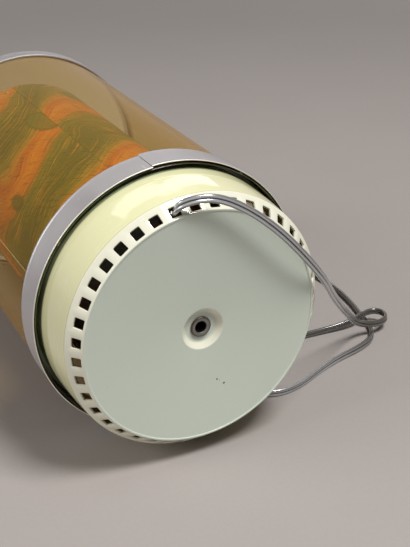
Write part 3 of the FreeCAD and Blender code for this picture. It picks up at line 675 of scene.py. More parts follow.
# %% Cream plastic
POCKET_AT = 36.6
SPECKS = [(8.3, 46.1, 0.9), (12.5, 42.6, 1.0), (9.9, 45.0, 0.6), (35.0, 120.0, 0.5)]
cream = Finish("cream_plastic", Roughness=0.28, IOR=1.5, Coat_Weight=0.2, Coat_Roughness=0.05)
radius, height = cream.lamp_place()
where = cream.object_place()
clouds = cream.noise(where, 14.0, detail=6.0)
streaks = cream.noise(cream.stretched(where, (20.0, 90.0, 20.0)), 3.0, detail=5.0)
collar_colour = cream.mix(clouds, colour(224, 222, 172), colour(233, 232, 192))
collar_colour = cream.mix(streaks * 0.25, collar_colour, colour(222, 210, 148))
vent_colour = cream.mix(clouds, colour(232, 230, 206), colour(240, 239, 220))
disc_colour = cream.mix(clouds, colour(210, 219, 204), colour(218, 227, 213))
on_collar = cream.between(height, 7.6, 8.6)
inside_rim = 1 - cream.between(radius, 65.7, 66.0)
dimple_wall = cream.between(radius, 8.6, 9.2) * (1 - cream.between(radius, 11.5, 12.0))
under = inside_rim * (1 - cream.between(height, 4.2, 5.0)) * (1 - dimple_wall)
body_colour = cream.mix(on_collar, vent_colour, collar_colour)
body_colour = cream.mix(under, body_colour, disc_colour)
body_colour = cream.mix(cream.line_at(height, 8.5, 0.12, 0.40) * 0.45, body_colour, colour(168, 164, 128))
thin = cream.noise(cream.stretched(where, (18.0, 420.0, 34.0), 0.35), 1.0, detail=2.0)
hairlines = cream.line_at(thin, 0.5, 0.004, 0.010) * on_collar
body_colour = cream.mix(hairlines * 0.20, body_colour, colour(250, 249, 232))
# Beyond the lower band's edge the collar is painted olive-dark: painted shade for the pocket
# that the band covers. The bulb's heat has browned the inside. The outer skin's radius is that
# of the chamfer or of the collar.
# Painted shade: the pocket under the lower band is coloured dark.
pocket_shade = cream.mix(cream.between(clouds, 0.35, 0.65), colour(112, 108, 72), colour(146, 158, 122))
in_pocket = cream.between(height + clouds * 0.8, POCKET_AT, POCKET_AT + 1.1)
body_colour = cream.mix(in_pocket, body_colour, pocket_shade)
skin = (66.0 + (height - 0.2) * 0.847).maths("MINIMUM", 72.3 + (height - 7.6) * 0.0425)
past_dimple = cream.between(radius, 13.0, 14.0) + cream.between(height, 4.3, 4.7)
inner_side = cream.between(skin - radius, 1.2, 1.5) * cream.between(height, 1.9, 2.2)
inner_side = inner_side * past_dimple.maths("MINIMUM", 1.0)
# The heat-browned inside is painted darker still: painted shade of the hollow seen through the vents.
body_colour = cream.mix(inner_side * 0.95, body_colour, colour(84, 58, 26))
dust = cream.between(cream.noise(where, 900.0, detail=2.0), 0.70, 0.80)
body_colour = cream.mix(dust * 0.35, body_colour, colour(120, 116, 96))
for x, z, size in SPECKS:
    off = cream.node("ShaderNodeVectorMath", {"operation": "DISTANCE"}, {
        0: where, 1: (x * MM, FOOT_Y, z * MM)}, out="Value") / MM
    speck = 1 - cream.between(off, size * 0.5, size)
    body_colour = cream.mix(speck * 0.85, body_colour, colour(52, 50, 40))
scuffs = cream.noise(cream.stretched(where, (60.0, 60.0, 600.0), 0.5), 2.0, detail=6.0)
gloss = 0.03 + clouds * 0.02 + scuffs * 0.04 + under * 0.28 + inner_side * 0.5
surface = cream.noise(where, 160.0, detail=3.0) * 0.2 + cream.noise(where, 22.0, detail=2.0)
cream.use(Base_Color=body_colour, Roughness=gloss, Normal=cream.bump(surface, 0.05, 0.12))
print("cream plastic has", len(cream.tree.nodes), "nodes")

# %% [markdown]
# ## One vent, forty times
#
# The chamfer between underside and collar is cut by forty square vents. Cutting them with
# booleans would leave ragged shading round each hole. Instead one bay of nine degrees is laid
# out as loops of points that run from the bay's border to the hole's edge, over a small
# rounding, down the hole's wall and out again inside. Faces between neighbouring loops are
# all four-sided, and the ring tree repeats the bay.

# %% Vent ring
VENTS = 40
VENT_PHASE = 2.5
VENT_HALF = 2.8
VENT_AT = 0.4
VENT_CORNER = 12
CHAMFER = (Vector((66.05, 0.18)), Vector((72.3, 7.56)))
CHAMFER_IN = (Vector((65.0, 2.4)), Vector((70.5, 8.6)))
SIDE = 8


def loop_of(half):
    """Points of a square with softened corners, from its lower left, eight to a side."""
    steps = [-1 + 2 * k / SIDE for k in range(SIDE)]
    square = [(s, -1) for s in steps] + [(1, s) for s in steps]
    square += [(-across, -along) for across, along in square]
    pulls = [(abs(a) ** VENT_CORNER + abs(b) ** VENT_CORNER) ** (1 / VENT_CORNER) for a, b in square]
    return [(a / pull * half, b / pull * half) for (a, b), pull in zip(square, pulls)]


def bay_border(line):
    """The bay's own border on a cone that runs along line, in the order of loop_of."""
    half = math.radians(180 / VENTS)
    steps = [k / SIDE for k in range(SIDE)]
    border = [(2 * s - 1, 0) for s in steps] + [(1, s) for s in steps]
    border += [(-across, 1 - along) for across, along in border]
    points = []
    for across, along in border:
        radius, height = line[0].lerp(line[1], along)
        points.append((radius * math.sin(half * across), height, radius * math.cos(half * across)))
    return points


def on_cone(line, across, along, depth):
    """A point on the cone: millimetres across, millimetres along from the vent's middle, and under it."""
    slope = (line[1] - line[0]).normalized()
    inward = Vector((-slope.y, slope.x))
    radius, height = line[0].lerp(line[1], VENT_AT) + slope * along + inward * depth
    return (across, height, math.sqrt(radius ** 2 - across ** 2))


loops = [bay_border(CHAMFER)]
for bigger, depth in ((0.22, 0.0), (0.07, 0.05), (0.0, 0.2), (0.0, 1.85)):
    loops.append([on_cone(CHAMFER, a, b, depth) for a, b in loop_of(VENT_HALF + bigger)])
loops.append(bay_border(CHAMFER_IN))
bay = [point for loop in loops for point in loop]
vents = ring_of("vents", bay, wall_faces(4 * SIDE, len(loops)), VENTS, VENT_PHASE, cream)

# %% [markdown]
# ## The rest of the base
#
# Two open outlines meet the vent ring at its two edges: the underside with its foot rim and
# dimple, and the collar with its turned-out seat. The collar isn't a straight cone. It swells by
# under a millimetre, which is what bends a lamp's reflection into a narrow bright bar. Both
# outlines are turned with eight segments to a bay, so their edges land on the bay's points.

# %% Base
SWELL = 0.7
SEAT_AT = 47.8
UNDERSIDE = [
    (65.0, 2.4), (13.3, 2.4, 1.0), (10.9, 5.4, 0.5), (5.2, 5.4), (5.2, 3.4), (8.8, 3.4, 1.1),
    (11.6, 0.4, 0.45), (64.95, 0.4, 0.12), (65.0, 0.0, 0.15), (65.9, 0.0, 0.2), (66.05, 0.18),
]
shares = [k / 14 for k in range(15)]
collar_sides = [(72.5 + 1.7 * s + 4 * SWELL * s * (1 - s), 7.8 + (SEAT_AT - 7.8) * s) for s in shares]
COLLAR = [
    (72.3, 7.56), *collar_sides, (76.4, SEAT_AT, 0.4), (76.4, 50.0, 0.6), (72.2, 50.0, 0.4), (70.5, 8.6),
]
bay_start = VENT_PHASE - 180 / VENTS
underside, collar = [turned(name, rounded(outline, size, closed=False), cream, closed=False,
                            segments=VENTS * SIDE, first=bay_start)
                     for name, outline, size in (("underside", UNDERSIDE, 0.25), ("collar", COLLAR, 0.2))]

RIB_T, RIB_LOW, RIB_HIGH = 0.8, 2.0, 7.0
RIB_IN, RIB_OUT = 16.0, 62.0
BOX_FACES = [(0, 1, 3, 2), (4, 6, 7, 5), (2, 3, 7, 6), (0, 4, 5, 1), (0, 2, 6, 4), (1, 5, 7, 3)]
rib = [(x, y, z) for x in (-RIB_T, RIB_T) for y in (RIB_LOW, RIB_HIGH) for z in (RIB_IN, RIB_OUT)]
ribs = ring_of("ribs", rib, BOX_FACES, 8, 22.5, cream)
BOSS_R, BOSS_HIGH, BOSS_SIDES, BAIL_R = 4.2, 12.0, 24, 40.0
turns = [2 * math.pi * k / BOSS_SIDES for k in range(BOSS_SIDES)]
boss = [(BOSS_R * math.cos(a), height, BAIL_R + BOSS_R * math.sin(a))
        for height in (BOSS_HIGH, RIB_LOW) for a in turns]
boss_ends = [tuple(range(BOSS_SIDES - 1, -1, -1)), tuple(range(BOSS_SIDES, 2 * BOSS_SIDES))]
bosses = ring_of("bosses", boss, wall_faces(BOSS_SIDES, 2) + boss_ends, 2, 90.0, cream)
base = joined("base", vents, underside, collar, ribs, bosses)
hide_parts("base_pan")
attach(base, "base")
print("base", len(base.data.polygons), "faces")

# %% [markdown]
# ## Aluminium bands
#
# Two bands of soft aluminium hold the film's ends. The lower one is a strip bent once round,
# and its ends don't quite meet in line: the edge has drifted by two millimetres by the time it
# comes round. So its outline is swept with a climb instead of being turned shut. The metal has
# been handled for years. Fine lines run round it from rolling, wide soft blotches dull it, and
# shallow dents bend its reflections.

# %% Satin aluminium
def satin(name, dark, light, highlight_width=0.0):
    """Handled aluminium. The first millimetres of a strip's outline may get a painted highlight."""
    metal = Finish(name, Metallic=1.0)
    where, on_strip = metal.object_place(), metal.unrolled()
    rolled = metal.noise(metal.stretched(on_strip, (12.0, 2600.0, 1.0)), 1.0, detail=6.0)
    blotches = metal.noise(where, 26.0, detail=5.0, distortion=0.6)
    dents = metal.noise(where, 55.0, detail=1.0)
    hairs = metal.noise(metal.stretched(where, (260.0, 34.0, 260.0), 0.4), 1.0, detail=2.0)
    scratches = metal.between(hairs, 0.68, 0.76)
    metal_colour = metal.mix(blotches, (*dark, 1), (*light, 1))
    metal_colour = metal.mix(scratches * 0.6, metal_colour, (0.82, 0.82, 0.80, 1))
    if highlight_width:
        # Painted highlight: the strip's near edge is made bright where it catches the light.
        edge_highlight = 1 - metal.between(metal.split(on_strip)[1] / MM, highlight_width, highlight_width + 0.1)
        metal_colour = metal.mix(edge_highlight, metal_colour, (0.93, 0.92, 0.88, 1))
    metal.use(Base_Color=metal_colour, Roughness=0.36 + blotches * 0.16 + rolled * 0.06,
              Normal=metal.bump(rolled * 0.25 + dents * 2.0 + scratches * 0.2, 0.10, 0.4))
    return metal


EDGE = 0.6
aluminium = satin("satin_aluminium", (0.47, 0.47, 0.50), (0.62, 0.61, 0.61))
strip_metal = satin("strip_aluminium", (0.50, 0.49, 0.52), (0.66, 0.65, 0.66), highlight_width=EDGE + 0.3)
print("satin aluminium ready")

# %% Bottom band
JOINT_AT = 7.0
BAND_DRIFT = 2.0
JOINT_GAP = 0.4
HEM = 0.25
FILM_ROOM = 0.1
_, STRIP_LOW, STRIP_TOP = measured("bottom_band")
strip_end = STRIP_TOP - BAND_DRIFT
strip = [
    (BAND_R - EDGE, STRIP_LOW), (BAND_R, STRIP_LOW), (BAND_R, STRIP_LOW + 1.1),
    (BAND_R - HEM, STRIP_LOW + 1.7), (BAND_R - HEM, strip_end - 1.7), (BAND_R, strip_end - 1.1),
    (BAND_R, strip_end), (SHADE_R + FILM_ROOM, strip_end), (SHADE_R + FILM_ROOM, STRIP_LOW + 3.5),
    (BAND_R - EDGE, STRIP_LOW + 2.2),
]
gap = math.degrees(JOINT_GAP / BAND_R)
bottom_band = turned("bottom_band_strip", rounded(strip, 0.25), strip_metal, first=JOINT_AT + gap / 2,
                     lap=(360 - gap, BAND_DRIFT, 0.0))
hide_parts("bottom_band")
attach(bottom_band, "shade")

# %% Top band and seat hoop
inner = SHADE_R - 0.58
channel = [
    (SHADE_R + FILM_ROOM, TOP_BAND_LOW), (BAND_R, TOP_BAND_LOW, 0.3), (BAND_R, TOP_BAND_LOW + 1.2, 0.3),
    (BAND_R - HEM, TOP_BAND_LOW + 1.8), (BAND_R - HEM, LENGTH - 2.2), (BAND_R, LENGTH - 1.6, 0.4),
    (BAND_R, LENGTH, 1.0), (inner - 0.7, LENGTH, 0.5), (inner - 0.7, TOP_BAND_LOW + 4),
    (inner, TOP_BAND_LOW + 4), (inner, LENGTH - 1.1), (SHADE_R + FILM_ROOM, LENGTH - 1.1),
]
top_band = turned("top_band_channel", rounded(channel, 0.15), aluminium)
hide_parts("top_band")
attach(top_band, "shade")

HOOP_T, HOOP_LEG = 0.6, 3.4
_, HOOP_LOW, HOOP_TOP = measured("seat_hoop")
angle = [
    (inner - HOOP_LEG, HOOP_LOW), (inner, HOOP_LOW, 0.5), (inner, HOOP_TOP, 0.25),
    (inner - HOOP_T, HOOP_TOP, 0.25), (inner - HOOP_T, HOOP_LOW + HOOP_T, 0.2),
    (inner - HOOP_LEG, HOOP_LOW + HOOP_T, 0.2),
]
seat_hoop = turned("seat_hoop_angle", rounded(angle, 0.2), aluminium)
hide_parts("seat_hoop")
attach(seat_hoop, "shade")

# %% [markdown]
# ## The amber film
#
# The shade is one sheet of clear amber plastic, rolled up and glued along a lap. It is thin, so
# it doesn't bend the view behind it as thick glass would. A straight mix serves better than
# refraction: a tinted transparent part, and a glossy part that grows where the sheet is seen
# edge-on. Dust and fine hazy scratches add to the glossy part. Behind the lower band the sheet
# is made dark brown and opaque: old glue, and painted shade for the dark pocket there.

# %% Amber film
LAP_AT, LAP, FILM_T = 72.0, 3.0, 0.3
film = Finish("amber_film", Roughness=0.10, IOR=1.5)
where = film.object_place()
radius, height = film.lamp_place()
across, _, _ = film.split(film.unrolled())
haze = film.noise(where, 18.0, detail=6.0, distortion=0.8)
fine_dust = film.between(film.noise(where, 1400.0, detail=2.0), 0.62, 0.75)
thin = film.noise(film.stretched(where, (300.0, 22.0, 300.0), 0.25), 1.0, detail=3.0)
hairs = film.between(thin, 0.66, 0.74)
under_band = 1 - film.between(height, 56.0, 57.0)
lap_line = 1 - film.between(across / MM, 0.3, 0.55)
clear = film.node("ShaderNodeBsdfTransparent", None, {"Color": (0.935, 0.872, 0.66, 1)})
glossy = film.rim_gloss() + haze * 0.05 + fine_dust * 0.04 + hairs * 0.05 + lap_line * 0.18
# Old glue and painted shade: under the band the sheet is dark brown and lets no light through.
glue_and_painted_shade = film.mix(film.between(haze, 0.38, 0.60), colour(64, 52, 30), colour(100, 108, 70))
amber = film.mix(lap_line, colour(176, 140, 84), colour(226, 206, 150))
amber = film.mix(hairs * 0.5, film.mix(under_band, amber, glue_and_painted_shade), colour(214, 190, 140))
film.use(Base_Color=amber, Roughness=0.09 + haze * 0.12 + under_band * 0.1)
film.blend(glossy + under_band * 0.95, clear, film.solid)
sheet = wall_outline(SHADE_R - FILM_T, SHADE_R, FILM_LOW, FILM_TOP)
shade = turned("amber_shade", rounded(sheet, 0.1, 1), film, first=LAP_AT, segments=320,
               lap=(360 + LAP, 0.0, -FILM_T - 0.02))
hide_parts("shade_film")
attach(shade, "shade")

# %% [markdown]
# ## The printed drum
#
# The drum is a sheet of frosted plastic, printed in transparent inks that glow when the bulb is
# on. The picture on it here is a design of our own: leaning ribbons of orange, amber and olive,
# each filled with fine strokes that follow it, as a painter fills a shape with a dry brush. All
# of it is worked out on the sheet's unrolled surface. A slow wave bends the ribbons, a ramp
# colours them, and noise that is stretched along them makes the strokes.

# %% Drum print
RIBBON_W = 96.0
AROUND = 2 * math.pi * DRUM_R
ink = Finish("printed_sheet", Roughness=0.42, IOR=1.48)
across, along, _ = ink.split(ink.unrolled())
across, along = across / MM, along / MM
drift = ink.noise(ink.pair(across / 100, along / 100), 1.1, detail=2.0) - 0.5
ripple = (across * (6 * math.pi / AROUND)).maths("SINE") * 16
ripple = ripple + (across * (10 * math.pi / AROUND) + along / 31).maths("SINE") * 7
ribbon = (along + across * (2 * RIBBON_W / AROUND) + ripple + drift * 70) / RIBBON_W
ribbons = ink.ramp(
    ribbon.maths("FRACT"), (0.0, colour(92, 104, 40)), (0.16, colour(106, 120, 48)),
    (0.24, colour(148, 122, 44)), (0.30, colour(214, 124, 40)), (0.45, colour(226, 142, 52)),
    (0.56, colour(206, 104, 34)), (0.64, colour(196, 140, 60)), (0.72, colour(118, 124, 54)),
    (0.86, colour(80, 98, 42)), (1.0, colour(92, 104, 40)))
strokes = ink.noise(ink.pair(across * 0.035, ribbon * 62), 1.0, detail=5.0, roughness=0.65)
hatch_place = ink.pair((across - along * 0.7) * 0.75, (along + across * 0.7) * 0.07)
hatching = ink.between(ink.noise(hatch_place, 1.0, detail=4.0, roughness=0.6), 0.54, 0.62)
leaf_distance = ink.node("ShaderNodeTexVoronoi", {"feature": "F1"}, {
    "Vector": ink.pair(across / 34, (along - across * 0.3) / 62), "Scale": 1.0, "Randomness": 0.75})
leaf_edge = leaf_distance + strokes * 0.16
leaf = 1 - ink.between(leaf_edge, 0.36, 0.40)
leaf_rim = ink.between(leaf_edge, 0.33, 0.37) * leaf
leaf_colour = ink.mix(strokes, colour(58, 80, 32), colour(124, 140, 62))
picture = ink.mix(ink.between(strokes, 0.50, 0.66) * 0.55, ribbons, colour(240, 170, 84))
picture = ink.mix(ink.between(strokes, 0.30, 0.46), colour(110, 70, 26), picture)
picture = ink.mix(leaf * 0.80, picture, leaf_colour)
picture = ink.mix(leaf_rim * 0.5, picture, colour(40, 42, 16))
picture = ink.mix(hatching * 0.5, picture, colour(60, 48, 20))
ink.use(Base_Color=picture, Roughness=0.36 + strokes * 0.16, Normal=ink.bump(strokes, 0.05, 0.4))
print("drum print has", len(ink.tree.nodes), "nodes")

# %% Drum sheet
SHEET_T, SEAM_AT, SEAM = 0.2, 4.0, 5.0
wall = wall_outline(DRUM_R - SHEET_T, DRUM_R, DRUM_LOW, DRUM_TOP)
drum = turned("printed_drum", rounded(wall, 0.1, 1), ink, first=SEAM_AT, segments=300,
              lap=(360 + SEAM, 0.0, SHEET_T + 0.05))
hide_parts("drum_sheet")
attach(drum, "drum")

# %% [markdown]
# ## The fan that turns the drum
#
# The drum's closed end is a stamped aluminium wheel. Sixteen vanes are twisted out of the plate
# between hub and rim, and the bulb's warm air pushes on them. One vane is bent in code, with
# its edges a little curled as a press leaves them, and the ring tree sets all sixteen.

# %% Fan and hoop
FAN_T, RIM_W, HUB_R, CUP_R, RIM_H = 0.6, 7.0, 13.0, 4.5, 6.0
# The vanes stand up over the plate, so its height is counted from the rim's lower edge.
FAN_R, RIM_LOW, _ = measured("drum_fan")
FAN_H = RIM_LOW + RIM_H
RIM_IN = FAN_R - RIM_W
BORE = CUP_R + 0.08
PRESSED = 0.5
VANES, VANE_TILT, VANE_ROOT_W, VANE_CHORD = 16, 32.0, 3.8, 9.0
rim = [
    (RIM_IN, FAN_H - FAN_T), (FAN_R - FAN_T, FAN_H - FAN_T, 0.8), (FAN_R - FAN_T, FAN_H - RIM_H, 0.2),
    (FAN_R, FAN_H - RIM_H, 0.2), (FAN_R, FAN_H, 1.2), (RIM_IN, FAN_H),
]
hub = [
    (BORE, FAN_H - FAN_T), (HUB_R - 4, FAN_H - FAN_T, 0.8), (HUB_R - 3, FAN_H - FAN_T - PRESSED, 0.8),
    (HUB_R, FAN_H - FAN_T - PRESSED), (HUB_R, FAN_H - PRESSED), (HUB_R - 3, FAN_H - PRESSED, 0.8),
    (HUB_R - 4, FAN_H, 0.8), (BORE, FAN_H),
]
ALONG, ACROSS = 10, 6
vane, vane_faces = [], []
for side in (0.5, -0.5):
    for i in range(ALONG + 1):
        out = i / ALONG
        radius = HUB_R - 0.6 + (RIM_IN - HUB_R + 1.2) * out
        # The twist eases in from each root, where the metal is still flat in its plate.
        ease = min(1, 4 * out, 4 * (1 - out))
        tilt = math.radians(VANE_TILT) * ease
        width = VANE_ROOT_W + (VANE_CHORD - VANE_ROOT_W) * out
        for j in range(ACROSS + 1):
            t = (j / ACROSS - 0.5) * width
            curl = 0.25 * (2 * t / width) ** 2 * ease
            across = t * math.cos(tilt) - side * FAN_T * math.sin(tilt)
            lift = t * math.sin(tilt) + side * FAN_T * math.cos(tilt) + curl
            vane.append((across, FAN_H - FAN_T / 2 + lift, radius))
layer = (ALONG + 1) * (ACROSS + 1)
for i in range(ALONG):
    for j in range(ACROSS):
        k = i * (ACROSS + 1) + j
        quad = (k, k + ACROSS + 1, k + ACROSS + 2, k + 1)
        vane_faces += [quad, tuple(layer + n for n in reversed(quad))]
border = [i * (ACROSS + 1) for i in range(ALONG)] + [ALONG * (ACROSS + 1) + j for j in range(ACROSS)]
border += [i * (ACROSS + 1) + ACROSS for i in range(ALONG, 0, -1)] + list(range(ACROSS, 0, -1))
vane_faces += [(b, a, a + layer, b + layer) for a, b in zip(border, border[1:] + border[:1])]
vanes = ring_of("vanes", vane, vane_faces, VANES, 11.25, aluminium)
fan = joined("warm_air_fan", turned("rim", rounded(rim, 0.2), aluminium),
             turned("hub", rounded(hub, 0.2), aluminium, segments=96), vanes)
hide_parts("drum_fan")
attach(fan, "drum")

END_R, END_LOW, END_TOP = measured("drum_hoop")
BEAD_T, SHEET_ROOM = 0.5, 0.1
out_r, in_r = END_R - SHEET_ROOM, END_R - SHEET_ROOM - BEAD_T
bead = [
    (in_r, END_LOW), (out_r, END_LOW), (out_r, END_LOW + 2), (out_r - 0.3, END_LOW + 3),
    (out_r, END_LOW + 4), (out_r, END_TOP), (in_r, END_TOP), (in_r, END_LOW + 4),
    (in_r - 0.3, END_LOW + 3), (in_r, END_LOW + 2),
]
drum_hoop = turned("drum_end_hoop", rounded(bead, 0.4), aluminium)
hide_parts("drum_hoop")
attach(drum_hoop, "drum")
print("drum is closed by a fan of", VANES, "vanes")

# %% Rivets
RIVETS, RIVET_AT, ROUND = 6, 15.0, 16
RIVET_Y, SEAT_R = FAN_H - RIM_H / 2, DRUM_R + 0.02
HEAD = [(1.6, 0.0), (1.6, 0.15), (1.44, 0.42), (1.088, 0.62), (0.576, 0.74)]
HEAD_TOP = 0.78
spins = [2 * math.pi * k / ROUND for k in range(ROUND)]
rivet = [(r * math.cos(a), RIVET_Y + r * math.sin(a), SEAT_R + out) for r, out in HEAD for a in spins]
tip = len(rivet)
rivet.append((0, RIVET_Y, SEAT_R + HEAD_TOP))
rivet_faces = wall_faces(ROUND, len(HEAD))
rivet_faces += [(tip - ROUND + k, tip - ROUND + (k + 1) % ROUND, tip) for k in range(ROUND)]
rivet_faces.append(tuple(range(ROUND - 1, -1, -1)))
rivets = ring_of("drum_rivet_heads", rivet, rivet_faces, RIVETS, RIVET_AT, aluminium)
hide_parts("drum_rivets")
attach(rivets, "drum")

# %% [markdown]
# ## Steel, brass and resin
#
# The small inner pieces keep the measured model's own shapes, which are already right, and get
# real finishes. Plated steel is grey and mottled, brass goes brown where it is never touched,
# and the holder is a dark moulded resin with a faint grain from its mould.

# %% Finishes of the inner pieces
def mottled(name, dark, light, rough, scale=60.0, depth=0.03, **constants):
    """A finish that wanders between two colours, with grain that follows the same noise."""
    finish = Finish(name, **constants)
    where = finish.object_place()
    cloud = finish.noise(where, scale, detail=6.0)
    grain = finish.noise(where, scale * 14, detail=3.0)
    finish.use(Base_Color=finish.mix(cloud, (*dark, 1), (*light, 1)),
               Roughness=cloud * 0.2 + grain * 0.08 + rough, Normal=finish.bump(grain + cloud, depth, 0.4))
    return finish


steel = mottled("plated_steel", (0.20, 0.18, 0.16), (0.46, 0.45, 0.43), 0.20, Metallic=1.0)
brass = mottled("old_brass", (0.42, 0.29, 0.12), (0.70, 0.53, 0.24), 0.20, Metallic=1.0)
resin = mottled("brown_resin", (0.018, 0.010, 0.007), (0.035, 0.020, 0.013), 0.26, IOR=1.55, Coat_Weight=0.3)
black_glass = mottled("black_glass", (0.004, 0.004, 0.004), (0.012, 0.011, 0.011), 0.05, IOR=1.55)
wire_finish = mottled("lead_wire", (0.16, 0.15, 0.14), (0.34, 0.33, 0.32), 0.30, Metallic=1.0)
KEPT = {
    "stud_lock_nut": brass, "lamp_holder": resin, "terminal_screws": brass, "holder_contact": brass,
    "bulb_insulator": black_glass, "bulb_tip": brass, "bail": steel, "needle_holder": brass, "needle": steel,
    "drum_cup": brass, "plug_blades": brass,
}
for node, finish in KEPT.items():
    finish.coat(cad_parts[node].material_slots)
print("new finishes on", len(KEPT), "measured pieces")

# %% [markdown]
# ## Threads
#
# A thread is a ridge that climbs round a sleeve, drawn with forty steps to a turn. The tree
# below draws a spiral, sweeps a small round section along it and caps its ends. The bulb's cap,
# the brass shell that it screws into and the stud's bore all get their threads from it, with
# other sizes.

# %% Thread tree
STEPS_PER_TURN = 40


def thread_tree():
    g, given = start_tree("thread_round_spindle", {
        "Sleeve": "Geometry", "Turns": "Float", "Radius": "Float", "Height": "Float", "Ridge": "Float",
        "Start": "Vector", "Steps": "Int", "Finish": "Material"}, "Threaded")
    spiral = g.node("GeometryNodeCurveSpiral", None, {
        "Resolution": given["Steps"], "Rotations": given["Turns"], "Start Radius": given["Radius"],
        "End Radius": given["Radius"], "Height": given["Height"]})
    section = g.node("GeometryNodeCurvePrimitiveCircle", {"mode": "RADIUS"}, {
        "Resolution": 8, "Radius": given["Ridge"]})
    ridge = g.node("GeometryNodeCurveToMesh", None, {
        "Curve": spiral, "Profile Curve": section, "Fill Caps": True})
    laid = g.node("GeometryNodeTransform", None, {
        "Geometry": ridge, "Translation": given["Start"], "Rotation": (-math.pi / 2, 0, 0)})
    both = g.tree.nodes.new("GeometryNodeJoinGeometry")
    for part in (laid, given["Sleeve"]):
        g.tree.links.new(part.socket, both.inputs[0])
    real = g.node("GeometryNodeRealizeInstances", None, {0: Value(g, both.outputs[0])})
    coated = g.node("GeometryNodeSetMaterial", None, {"Geometry": real, "Material": given["Finish"]})
    g.node("NodeGroupOutput", None, {0: coated})
    return g.tree


THREAD_TREE = thread_tree()


def threaded(name, sleeve, radius, low, high, pitch, ridge, finish):
    """Adds a thread to a sleeve, between two heights in millimetres."""
    return grown(name, sleeve, THREAD_TREE, {
        "Turns": (high - low) / pitch, "Radius": radius * MM, "Height": (high - low) * MM,
        "Ridge": ridge * MM, "Start": place(0, 0, low), "Steps": STEPS_PER_TURN,
        "Finish": finish.material}, sharp=50)


print("thread tree has", len(THREAD_TREE.nodes), "nodes")

# %% Stud, washer and screw shell
HEAD_R, STUD_LOW, STUD_TOP = measured("centre_stud")
STUD_R, BORE_R = HEAD_R - 0.7, HEAD_R - 2.8
stud = [
    (BORE_R, STUD_LOW + 0.7, 0.3), (BORE_R + 0.8, STUD_LOW, 0.5), (HEAD_R - 0.4, STUD_LOW, 0.4),
    (HEAD_R, STUD_LOW + 0.4, 0.2), (HEAD_R, STUD_LOW + 1.0), (STUD_R, STUD_LOW + 1.0), (STUD_R, STUD_TOP),
    (BORE_R, STUD_TOP),
]
rusty = Finish("stud_steel", Metallic=1.0)
radius, height = rusty.lamp_place()
cloud = rusty.noise(rusty.object_place(), 220.0, detail=5.0)
face_colour = rusty.mix(cloud, (0.12, 0.12, 0.115, 1), (0.40, 0.39, 0.37, 1))
at_edge = rusty.between(radius + cloud, HEAD_R - 0.7, HEAD_R) * 0.7
face_colour = rusty.mix(at_edge, face_colour, (0.075, 0.05, 0.03, 1))
# Painted shade: inside the bore the steel is coloured near black, for the dark of the deep hole.
in_bore = 1 - rusty.between(radius, BORE_R + 0.1, BORE_R + 0.5)
face_colour = rusty.mix(in_bore, face_colour, (0.012, 0.010, 0.008, 1))
rusty.use(Base_Color=face_colour, Roughness=0.22 + cloud * 0.2 + in_bore * 0.4,
          Normal=rusty.bump(cloud, 0.04, 0.4))
sleeve = turned("stud_sleeve", rounded(stud, 0.15), rusty, segments=96)
centre_stud = threaded("hollow_stud", sleeve, BORE_R, STUD_LOW + 1.6, STUD_TOP - 0.8, 0.9, 0.28, rusty)
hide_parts("centre_stud")
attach(centre_stud, "base")

WASHER_R, WASHER_LOW, WASHER_TOP = measured("lock_washer")
FLAT_R, TWIST = WASHER_R - 1.6, 0.12
flat = wall_outline(STUD_R + 0.1, FLAT_R, WASHER_LOW, WASHER_TOP)
tooth = [(x, y + TWIST * x * (z > FLAT_R), z) for x in (-1.25, 1.25)
         for y in (WASHER_LOW + 0.15, WASHER_TOP - 0.15) for z in (FLAT_R - 0.1, WASHER_R - 0.05)]
teeth = ring_of("teeth", tooth, BOX_FACES, 12, 15.0, steel)
washer = joined("toothed_washer", turned("washer_flat", rounded(flat, 0.1), steel, segments=72), teeth)
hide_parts("lock_washer")
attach(washer, "base")

SHELL_R, SHELL_LOW, SHELL_TOP = measured("holder_shell")
THREAD_PITCH, SHELL_HOLE = 3.63, 6.0
cup = [
    (SHELL_HOLE, SHELL_LOW), (SHELL_R, SHELL_LOW, 0.8), (SHELL_R, SHELL_TOP), (SHELL_R - 0.5, SHELL_TOP),
    (SHELL_R - 0.5, SHELL_LOW + 0.4, 0.6), (SHELL_HOLE, SHELL_LOW + 0.4),
]
lining = turned("shell_lining", rounded(cup, 0.1), brass, segments=128)
shell = threaded("screw_shell", lining, SHELL_R - 0.55, SHELL_LOW + 3, SHELL_TOP - 2,
                 THREAD_PITCH, 0.42, brass)
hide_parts("holder_shell")
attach(shell, "base")

# %% [markdown]
# ## The bulb
#
# A clear pear-shaped bulb heats the air. Its glass is a thin shell, so it takes the same mix as
# the amber film, with hardly any tint: transparent face-on and glossy at its rim. The cap is a
# drawn sleeve with its thread rolled in, and glass, stem, hooks and filament sit in it.

# %% Clear glass
glass = Finish("clear_glass", Roughness=0.03, IOR=1.5)
smears = glass.noise(glass.object_place(), 30.0, detail=4.0, distortion=1.0)
clear = glass.node("ShaderNodeBsdfTransparent", None, {"Color": (0.95, 0.965, 0.955, 1)})
glass_colour = glass.mix(smears, colour(196, 202, 200), colour(214, 218, 214))
glass.use(Base_Color=glass_colour, Roughness=0.02 + smears * 0.06)
glass.blend(glass.rim_gloss() + smears * 0.03, clear, glass.solid)
for node in ("bulb_glass", "bulb_stem"):
    glass.coat(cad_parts[node].material_slots)
print("clear glass on bulb and stem")

